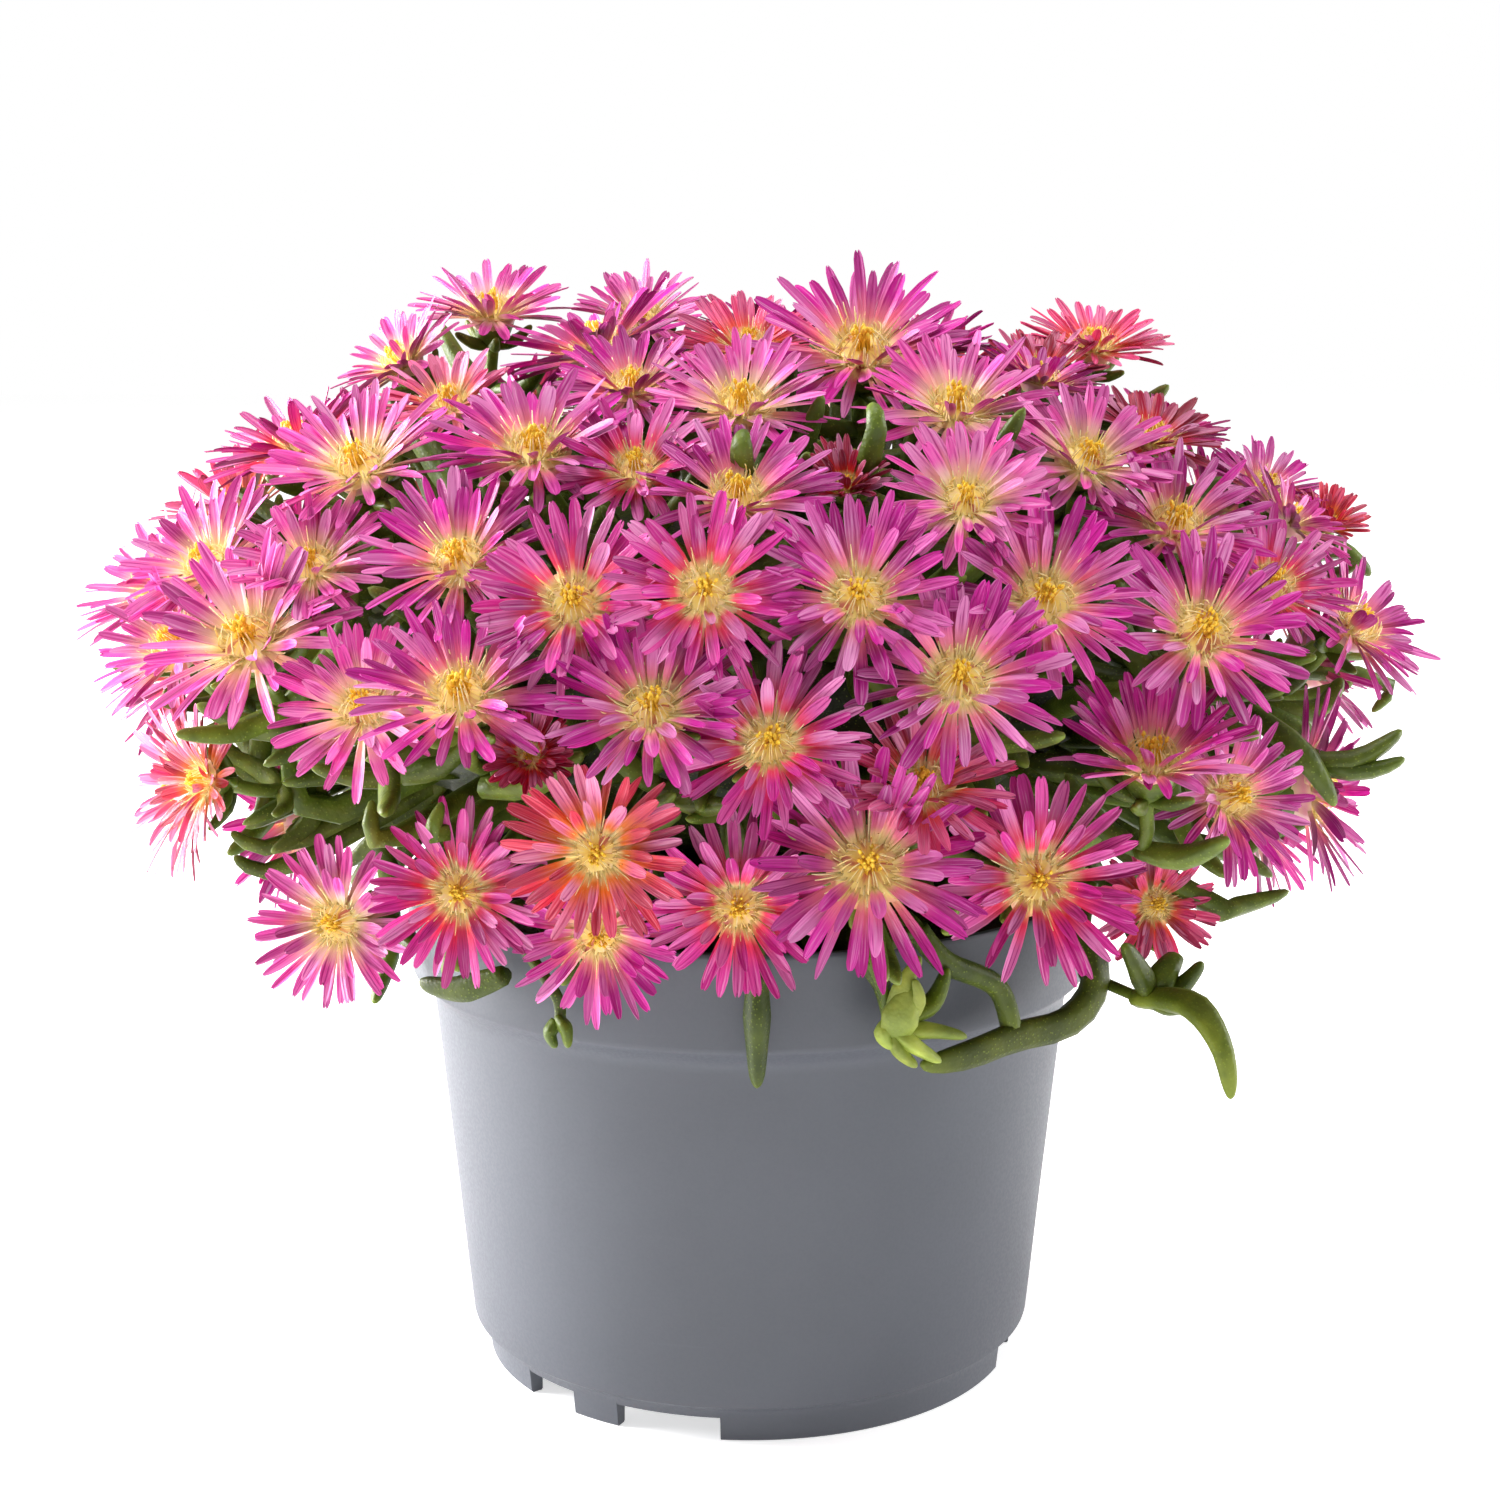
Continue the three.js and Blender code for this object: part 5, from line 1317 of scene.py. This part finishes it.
def add_trunk(made):
    """Adds the short woody foot between the soil and the plant's middle, round and waved."""
    heights = np.linspace(SOIL_LEVEL - 18, CORE["middle"], 8)
    line = np.stack([2 * np.sin(heights / 9), 2 * np.cos(heights / 7), heights], -1)[None]
    radii = np.full((1, 8), TRUNK_RADIUS * 0.8)
    side = np.array([[1.0, 0, 0]])
    made.add_strands(line, side, round_section(radii, 12), tip=np.full((1, 3), TRUNK_LIGHT))


def stalk_lines(blooms):
    """Each stalk's line: from its root in the core, bending to come up straight under the cup."""
    tops = np.array([b["cup"] + 0.3 * b["axis"] for b in blooms])
    axes = np.array([b["axis"] for b in blooms])
    bends = tops - axes * 11
    roots = bends * np.array([0.6, 0.6, 0.35]) + np.array([0, 0, 0.65 * CORE["middle"]])
    routes = np.stack([roots, 0.5 * (roots + bends), bends, tops], axis=1)
    return resample(routes, np.linspace(0, 1, 12))


def stalk_leaves(blooms, leaf_shape, random):
    """Routes and radii of the opposite leaf pairs on the stalks: each pair stands at right angles
    to the one before, out and up towards its bloom."""
    routes = []
    radii = []
    for pair in range(leaf_shape.pairs):
        down = 9 + 8 * pair
        for bloom in blooms:
            thickness = leaf_shape.leaf_radius * (bloom["radius"] / COMMON_RADIUS) ** 0.5
            way = random.uniform(0, math.pi) + pair * math.pi / 2
            base = bloom["cup"] - bloom["axis"] * (down + random.uniform(-2, 2))
            for turned in (0, math.pi):
                out = math.cos(way + turned) * bloom["side"] + math.sin(way + turned) * bloom["up"]
                length = bloom["radius"] * random.uniform(1.05, 1.4)
                middle = base + (out * 0.86 + bloom["axis"] * 0.24) * 0.5 * length
                tip = base + (out * 0.8 + bloom["axis"] * 0.5) * length
                routes.append([base, middle, tip])
                radii.append(thickness * random.uniform(0.72, 1.0))
    return np.array(routes), np.array(radii)


def sepal_routes(blooms, random):
    """Routes and radii of five fleshy sepals under each bloom, from the cup out under the petals."""
    routes = []
    radii = []
    for bloom in blooms:
        size = bloom["radius"]
        phase = random.uniform(0, FULL_TURN)
        for k in range(5):
            way = phase + FULL_TURN * k / 5
            out = math.cos(way) * bloom["side"] + math.sin(way) * bloom["up"]
            base = bloom["cup"] + out * 0.05 * size
            middle = base + (out * 0.24 + bloom["axis"] * 0.08) * size
            tip = base + (out * 0.46 + bloom["axis"] * random.uniform(0.2, 0.3)) * size
            routes.append([base, middle, tip])
            radii.append(0.085 * size)
    return np.array(routes), np.array(radii)


# A cup's radii and heights as shares of its bloom's radius
CUP_PROFILE = np.array([[0.06, -0.42], [0.1, -0.36], [0.2, -0.24], [0.255, -0.1], [0.2, -0.02]])


def add_cup(made, bloom):
    """Adds the green cup under a bloom: a short cone round the axis, fuller near the petals."""
    profile = CUP_PROFILE * bloom["radius"]
    line = bloom["centre"] + bloom["axis"] * profile[:, 1:2]
    section = round_section(profile[None, :, 0], 10)
    made.add_strands(line[None], bloom["side"][None], section, tip=np.full((1, 3), CUP_LIGHT))


def rooted_route(route):
    """A shoot's points with its root well inside the core."""
    points = [seen_at_depth(*point) for point in route]
    first = points[0]
    root = np.array([
        SHOOT_ROOT_ACROSS * first[0],
        SHOOT_ROOT_ACROSS * first[1],
        CORE["middle"] + SHOOT_ROOT_UP * (first[2] - CORE["middle"]),
    ])
    return [root, *points]


def evened(routes, shares):
    """Routes of unlike lengths, each resampled at the same shares of its way."""
    return np.concatenate([resample(np.array(route)[None], shares) for route in routes])


def plant_leaves(blooms, leaf_shape, random):
    """The middle, dark as painted shade, with its trunk, the leaves that stand out of it, the low ones that
    rise from the soil, darker as painted shade under the blooms, and the shoots and leaves that show."""
    made = Shape()
    add_core(made)
    add_trunk(made)
    low = seeded("low leaves")
    # The low leaves are painted darker than the middle's, as shade under the blooms
    for find_routes, draws, light in (
        (core_leaf_routes, random, CORE_LIGHT),
        (low_leaf_routes, low, LOW_LEAF_SHADE),
    ):
        routes = find_routes(leaf_shape, draws)
        radii = leaf_shape.leaf_radius * draws.uniform(0.85, 1.15, len(routes))
        add_leaves(made, *off_the_eyes(routes, radii, blooms), draws, light=light)
    shoots = [rooted_route(route) for route, _ in CORE_SHOOTS]
    shoots += [[seen_at_depth(*point) for point in route] for route, _ in FORK_LEAVES]
    radii = np.array([thickness / 2 for _, thickness in CORE_SHOOTS + FORK_LEAVES])
    add_leaves(made, evened(shoots, np.linspace(0, 1, 7)), radii, random)
    return made


def plant_stalks(blooms, leaf_shape, random):
    """The blooms' stalks with their cups, leaf pairs and sepals."""
    made = Shape()
    lines = stalk_lines(blooms)
    radii = np.full(lines.shape[:2], leaf_shape.stalk_radius)
    tint = np.full((len(lines), 3), STALK_LIGHT)
    made.add_strands(lines, any_side(lines[:, -1] - lines[:, 0]), round_section(radii, 7), tip=tint)
    for bloom in blooms:
        add_cup(made, bloom)
    if leaf_shape.pairs:
        add_leaves(made, *off_the_eyes(*stalk_leaves(blooms, leaf_shape, random), blooms), random)
    add_leaves(made, *sepal_routes(blooms, random), random)
    return made


def trailing_parts(stem):
    """A trailing stem's routes: its main run from the soil over the rim, and its branches from
    there."""
    azimuth = math.radians(stem["azimuth"])

    def way(away, height):
        return np.array([away * math.cos(azimuth), away * math.sin(azimuth), height])

    over = RIM_HEIGHT + STEM_OVER_RIM
    main = [
        way(STEM_FOOT_RADIUS, SOIL_LEVEL - 9),
        way(STEM_FOOT_RADIUS, SOIL_LEVEL + 5),
        way(RIM_RADIUS - 3, over),
        way(RIM_RADIUS + 4.5, over - 1),
    ]
    end = way(RIM_RADIUS + 3.5, over - 0.2)
    branches = [
        ([end, *[seen_on_cylinder(*point) for point in route]], thickness)
        for route, thickness in stem["branches"]
    ]
    return [(main, stem["thickness"]), *branches]


def trailing_stem(stem, random):
    """A trailing stem: its main run and branches as tubes that narrow evenly by a tenth, and its
    runs and leaves on the pot's front."""
    made = Shape()
    parts = trailing_parts(stem)
    lines = evened([route for route, _ in parts], STEM_STATIONS)
    radii = np.array([thickness / 2 for _, thickness in parts])[:, None] * (1 - 0.1 * STEM_STATIONS)
    side = any_side(lines[:, -1] - lines[:, 0])
    tint = np.full((len(lines), 3), STEM_TINT)
    made.add_strands(lines, side, round_section(radii, LONG_SIDES), tip=tint)
    for rows, taper in ((stem["runs"], RUN_TAPER), (stem["leaves"], LEAF_TAPER)):
        for route, thickness, light in rows:
            points = np.array([seen_on_cylinder(*point) for point in route])[None]
            add_leaves(made, points, [thickness / 2], random, light, taper, LONG_STATIONS, LONG_SIDES)
    return made


# Pot and soil

# Angles of the skirt's notches from the front in degrees, repeated round the pot, and their
# height; the half width of a notch's upright end, and the room round it, in radians
NOTCHES = ((-53, -39), (-28, -6))
NOTCH_ROUNDS = 3
NOTCH_HEIGHT = 4.4
NOTCH_END = 0.0006
NOTCH_ROOM = 0.012
# The skirt's radii between which its foot lifts in a notch
SKIRT_RADII = (48.9, 52)
DRAIN_RING = 34
DRAIN_HOLES = 6
DRAIN_CUT = {"from": 4.0, "height": 6.0}
# Above this angle in degrees an edge is sharp
POT_SHARP = 32


def pot_profile(wall):
    """The pot's outline as radius and height in millimetres, from the middle of the floor's
    underside out, down round the skirt, up the outside, over the rim and back down inside to the
    middle of the floor. Rounded corners are runs of points."""
    return np.array([
        [0.01, 6.2], [30, 6.2], [44, 6.2], [48.6, 6.2], [49.0, 5.8], [49.0, 2.5], [49.0, 0.25],
        [49.25, 0.0], [50.2, 0.0], [51.1, 0.0], [51.4, 0.3],
        [51.7, 3.2], [51.9, 4.9], [52.3, 6.0], [53.1, 6.9], [54.1, 7.4], [54.5, 7.7], [54.62, 8.1],
        [55.4, 16], [57.2, 35], [59.1, 54], [60.5, 68],
        [60.95, 72.2], [61.15, 73.2], [61.6, 74.1], [62.6, 75.2], [63.9, 76.4], [64.75, 77.1],
        [65.0, 77.5], [65.04, 78.2],
        [65.4, 84], [65.85, 92], [66.0, 94.0], [65.92, 94.55], [65.6, 94.93], [65.2, 95.0],
        [66 - wall + 0.3, 95.0], [66 - wall, 94.7],
        [65.3 - wall, 86], [65.0 - wall, 79], [64.4 - wall, 77.9], [62.6 - wall, 76.2],
        [61.3 - wall, 74.6], [61.0 - wall, 73.2],
        [59.1 - wall, 54], [57.2 - wall, 35], [54.8 - wall, 10.2], [54.0 - wall, 8.6],
        [52 - wall, 7.9], [30, 7.9], [0.01, 7.9],
    ])


def notch_angles(segments):
    """Angles round the pot: even ones, with a narrow pair at each side of each notch so that the
    notch's ends are upright. Also whether each lies inside a notch."""
    even = FULL_TURN * np.arange(segments) / segments
    pitch = 360 // NOTCH_ROUNDS
    ends = np.array([
        math.radians(degrees - 90 + pitch * turn) % FULL_TURN
        for turn in range(NOTCH_ROUNDS)
        for notch in NOTCHES
        for degrees in notch
    ])
    close = np.abs((even[:, None] - ends + math.pi) % FULL_TURN - math.pi) < NOTCH_ROOM
    kept = even[~close.any(axis=1)]
    angles = np.sort(np.concatenate([kept, (ends - NOTCH_END) % FULL_TURN, (ends + NOTCH_END) % FULL_TURN]))
    degrees = (np.degrees(angles) + 90 + 180) % 360 - 180
    local = (degrees + pitch / 2) % pitch - pitch / 2
    inside = np.zeros(len(angles), bool)
    for start, end in NOTCHES:
        inside |= (local > start) & (local < end)
    return angles, inside


def pot_shape(pot):
    """The turned pot: its profile carried round the axis, with the skirt's foot lifted to the
    notch height inside the notches."""
    profile = pot_profile(pot.wall)
    angles, inside = notch_angles(pot.segments)
    radius = profile[:, 0][:, None] * np.ones(len(angles))
    height = profile[:, 1][:, None] * np.ones(len(angles))
    away, up = profile.T
    skirt = (away > SKIRT_RADII[0]) & (away < SKIRT_RADII[1]) & (up < NOTCH_HEIGHT)
    lifted = np.where(inside[None, :] & skirt[:, None], NOTCH_HEIGHT + 0.02 * height, height)
    corners = np.stack([radius * np.cos(angles), radius * np.sin(angles), lifted], -1).reshape(-1, 3)
    rings, sides = radius.shape
    quads, caps = tube_faces(1, rings, sides)
    made = Shape()
    made.add(corners, [quads, caps], tube_uvs(1, rings, sides))
    return made


def drain_cutter(pot):
    """Upright round bars that cut the drain holes."""
    turn = FULL_TURN * np.arange(DRAIN_HOLES) / DRAIN_HOLES
    foot = np.full(DRAIN_HOLES, DRAIN_CUT["from"])
    foot = np.stack([DRAIN_RING * np.cos(turn), DRAIN_RING * np.sin(turn), foot], -1)
    lines = np.stack([foot, foot + np.array([0, 0, DRAIN_CUT["height"]])], axis=1)
    section = round_section(np.full((DRAIN_HOLES, 2), pot.drain_radius), 32)
    made = Shape()
    made.add_strands(lines, np.tile([1.0, 0, 0], (DRAIN_HOLES, 1)), section)
    return made


# The soil: circles on its top, faces round it, its outer radius, how its top rises over the level
# and falls away by the square of the radius, and the waves that make its clods
SOIL = {"rings": 40, "sides": 120, "radius": 63, "rise": 1.6, "fall": 0.0004, "waves": 26, "clods": 0.252}
SOIL_FOOT = np.array([[62.8, 80], [58.6, 72], [52.3, 12], [0.01, 9]])


def soil_shape(random):
    """The soil: a body turned from a profile just inside the pot, whose top is raised by summed
    sines of random wavelength and direction into clods, longer waves higher."""
    sides = SOIL["sides"]
    radii = np.linspace(0.01, SOIL["radius"], SOIL["rings"])[:, None]
    angle = FULL_TURN * np.arange(sides) / sides
    x = radii * np.cos(angle)
    y = radii * np.sin(angle)
    top = SOIL_LEVEL + SOIL["rise"] - SOIL["fall"] * (x ** 2 + y ** 2)
    for _ in range(SOIL["waves"]):
        wave = random.uniform(0.25, 1.5)
        way = random.uniform(0, FULL_TURN)
        travel = wave * (x * math.cos(way) + y * math.sin(way))
        top = top + SOIL["clods"] / (0.6 + wave) * np.sin(travel + random.uniform(0, 6))
    foot = SOIL_FOOT[:, None]
    low = np.stack([
        foot[..., 0] * np.cos(angle),
        foot[..., 0] * np.sin(angle),
        foot[..., 1] * np.ones(sides),
    ], -1)
    corners = np.concatenate([np.stack([x, y, top], -1), low])[::-1]
    quads, caps = tube_faces(1, len(corners), sides)
    made = Shape()
    made.add(corners.reshape(-1, 3), [quads, caps], tube_uvs(1, len(corners), sides))
    return made


# Operators

class IcePlantOperator(Operator):
    """What all of the plant's operators share."""

    bl_options = {"REGISTER", "UNDO"}

    @staticmethod
    def check(done, message):
        """Stops the script where a piece can't be finished."""
        if not done:
            raise RuntimeError(message)


class ICEPLANT_OT_pot(IcePlantOperator):
    """Build the turned pot with its flared collar, notched skirt and drain holes"""

    bl_idname = "iceplant.pot"
    bl_label = "Pot"

    def execute(self, context):
        scene = context.scene
        material = pot_material(scene.ice_plant_colours)
        pot = add_piece(pot_shape(scene.ice_plant_pot), "nursery_pot", material, ["pot"])
        cutter = drain_cutter(scene.ice_plant_pot).mesh("drain_cutter")
        cutter = bpy.data.objects.new("drain_cutter", cutter)
        scene.collection.objects.link(cutter)
        before = len(pot.data.polygons)
        holes = pot.modifiers.new("drain_holes", "BOOLEAN")
        holes.operation = "DIFFERENCE"
        holes.solver = "EXACT"
        holes.object = cutter
        context.view_layer.update()
        with context.temp_override(object=pot, active_object=pot):
            bpy.ops.object.modifier_apply(modifier=holes.name)
        bpy.data.objects.remove(cutter)
        self.check(len(pot.data.polygons) != before, "the drain holes weren't cut")
        pot.data.shade_smooth()
        pot.data.set_sharp_from_angle(angle=math.radians(POT_SHARP))
        return {"FINISHED"}


class ICEPLANT_OT_soil(IcePlantOperator):
    """Build the crumbly soil"""

    bl_idname = "iceplant.soil"
    bl_label = "Soil"

    def execute(self, context):
        material = soil_material(context.scene.ice_plant_colours)
        add_piece(soil_shape(seeded("soil")), "peat_soil", material, ["soil"])
        return {"FINISHED"}


class ICEPLANT_OT_petals(IcePlantOperator):
    """Build the petals and bowl of each bloom, one piece for each node of blooms"""

    bl_idname = "iceplant.petals"
    bl_label = "Petals"

    def execute(self, context):
        scene = context.scene
        colours = scene.ice_plant_colours
        material = petal_material(colours)
        blooms = lay_out_blooms()
        nodes = sorted({bloom["node"] for bloom in blooms})
        for name in nodes:
            made = Shape()
            for index, bloom in enumerate(blooms):
                if bloom["node"] == name:
                    bloom_petals(made, bloom, blooms, index, scene.ice_plant_bloom, colours)
                    bowl(made, bloom, index, colours)
            add_piece(made, name.replace("bloom", "petals"), material, [name], sharp=48)
        self.check(len(nodes) == BLOOM_NODES, f"there are {len(nodes)} nodes of blooms")
        return {"FINISHED"}


class ICEPLANT_OT_eyes(IcePlantOperator):
    """Build the yellow stamens and pale filaments of all blooms"""

    bl_idname = "iceplant.eyes"
    bl_label = "Eyes"

    def execute(self, context):
        scene = context.scene
        material = eye_material()
        for name, add in (("filaments", bloom_filaments), ("stamens", bloom_stamens)):
            made = Shape()
            for index, bloom in enumerate(lay_out_blooms()):
                add(made, bloom, index, scene.ice_plant_bloom, scene.ice_plant_colours)
            add_piece(made, name, material)
        return {"FINISHED"}


class ICEPLANT_OT_foliage(IcePlantOperator):
    """Build the leafy middle, its shoots and leaves, and the blooms' stalks, cups and sepals"""

    bl_idname = "iceplant.foliage"
    bl_label = "Foliage"

    def execute(self, context):
        colours = context.scene.ice_plant_colours
        leaf_shape = context.scene.ice_plant_leaf
        random = seeded("leaves")
        blooms = lay_out_blooms()
        material = leaf_material("succulent_leaf", colours.leaf, colours.leaf_pale, 0.42)
        leaves = plant_leaves(blooms, leaf_shape, random)
        add_piece(leaves, "leaves", material, ["foliage"])
        stalks = plant_stalks(blooms, leaf_shape, random)
        add_piece(stalks, "stalks_and_sepals", material)
        return {"FINISHED"}


class ICEPLANT_OT_trailing(IcePlantOperator):
    """Build the stems that hang over the rim, with their leaves and buds"""

    bl_idname = "iceplant.trailing"
    bl_label = "Trailing stems"

    def execute(self, context):
        colours = context.scene.ice_plant_colours
        random = seeded("stems")
        material = leaf_material("young_stem", colours.stem, colours.stem_pale, 0.45)
        for stem in TRAILING_STEMS:
            name = stem["node"].replace("trailing", "hanging")
            add_piece(trailing_stem(stem, random), name, material, [stem["node"]])
        return {"FINISHED"}


# Soft lights: name and the setting that holds its power, side in metres, and place; and the
# point that all of them face
LIGHTS = (
    ("key_light", "key_power", 0.8, (-1.14, 0.34, 0.40)),
    ("fill_light", "fill_power", 0.8, (1.15, 0.22, 0.36)),
    ("top_light", "top_power", 0.9, (-0.25, -0.1, 1.35)),
)
LIGHTS_AIM = np.array([0, 0, 0.12])
SENSOR = 36


def add_light(scene, name, power, size, place):
    """Adds a square light that faces the plant: tilted from straight down, and turned to it."""
    light = bpy.data.lights.new(name, "AREA")
    light.energy = power
    light.size = size
    lamp = bpy.data.objects.new(name, light)
    lamp.location = place
    aim = LIGHTS_AIM - np.array(place)
    tilt = math.acos(-aim[2] / np.linalg.norm(aim))
    lamp.rotation_euler = (tilt, 0, math.atan2(aim[1], aim[0]) - math.pi / 2)
    scene.collection.objects.link(lamp)


def add_camera(scene):
    """Adds the camera at the viewpoint, with the focal length that the places were seen with."""
    camera = bpy.data.cameras.new("camera")
    camera.sensor_width = SENSOR
    camera.lens = SENSOR * VIEW["focal"] / VIEW["picture"]
    camera.clip_start = 0.01
    viewer = bpy.data.objects.new("camera", camera)
    viewer.location = VIEWPOINT * MM
    viewer.rotation_euler = (math.pi / 2 - TILT, 0, 0)
    scene.collection.objects.link(viewer)
    scene.camera = viewer


def add_floor(scene, half):
    """Adds the square floor, from minus to plus half its side."""
    mesh = bpy.data.meshes.new("floor")
    corners = [(-half, -half, 0), (half, -half, 0), (half, half, 0), (-half, half, 0)]
    mesh.from_pydata(corners, [], [(0, 1, 2, 3)])
    mesh.materials.append(floor_material(scene.ice_plant_colours))
    floor = bpy.data.objects.new("floor", mesh)
    scene.collection.objects.link(floor)


def add_surround(scene, strength):
    """Adds the backdrop, which looks white but lights the plant less than white would."""
    world = bpy.data.worlds.new("studio_surround")
    world.use_nodes = True
    tree = world.node_tree
    seen = node(tree, "ShaderNodeLightPath").outputs["Is Camera Ray"]
    shown = node(tree, "ShaderNodeMapRange", {0: seen, 3: strength, 4: 1.0}).outputs[0]
    connect(tree, tree.nodes["Background"], {"Color": (1, 1, 1, 1), "Strength": shown})
    scene.world = world


class ICEPLANT_OT_stage(IcePlantOperator):
    """Build the pale floor, the soft lights and the camera at the front"""

    bl_idname = "iceplant.stage"
    bl_label = "Stage"

    def execute(self, context):
        scene = context.scene
        stage = scene.ice_plant_stage
        add_floor(scene, stage.floor_size / 2)
        for name, power, size, place in LIGHTS:
            add_light(scene, name, getattr(stage, power), size, place)
        add_surround(scene, stage.surround)
        add_camera(scene)
        scene.view_settings.view_transform = "Standard"
        return {"FINISHED"}


class ICEPLANT_PT_panel(Panel):
    """The plant's operators and sizes in the 3D view's sidebar."""

    bl_idname = "ICEPLANT_PT_panel"
    bl_label = "Ice plant"
    bl_space_type = "VIEW_3D"
    bl_region_type = "UI"
    bl_category = "Ice plant"

    def draw(self, context):
        for operator in OPERATORS:
            self.layout.operator(operator.bl_idname)
        for name, group in PROPERTY_GROUPS.items():
            box = self.layout.box()
            box.label(text=group.__doc__.split(":")[0].rstrip("."))
            for key in group.__annotations__:
                box.prop(getattr(context.scene, name), key)


OPERATORS = (
    ICEPLANT_OT_pot,
    ICEPLANT_OT_soil,
    ICEPLANT_OT_petals,
    ICEPLANT_OT_eyes,
    ICEPLANT_OT_foliage,
    ICEPLANT_OT_trailing,
    ICEPLANT_OT_stage,
)


def register():
    """Registers the classes and hangs the property groups on the scene."""
    for group in PROPERTY_GROUPS.values():
        bpy.utils.register_class(group)
    for one in (*OPERATORS, ICEPLANT_PT_panel):
        bpy.utils.register_class(one)
    for name, group in PROPERTY_GROUPS.items():
        setattr(bpy.types.Scene, name, PointerProperty(type=group))


def unregister():
    """Undoes what register did."""
    for name in PROPERTY_GROUPS:
        delattr(bpy.types.Scene, name)
    for one in (ICEPLANT_PT_panel, *reversed(OPERATORS)):
        bpy.utils.unregister_class(one)
    for group in PROPERTY_GROUPS.values():
        bpy.utils.unregister_class(group)


def main():
    register()
    bpy.ops.iceplant.pot()
    bpy.ops.iceplant.soil()
    bpy.ops.iceplant.petals()
    bpy.ops.iceplant.eyes()
    bpy.ops.iceplant.foliage()
    bpy.ops.iceplant.trailing()
    bpy.ops.iceplant.stage()
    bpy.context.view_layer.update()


if __name__ == "__main__":
    main()
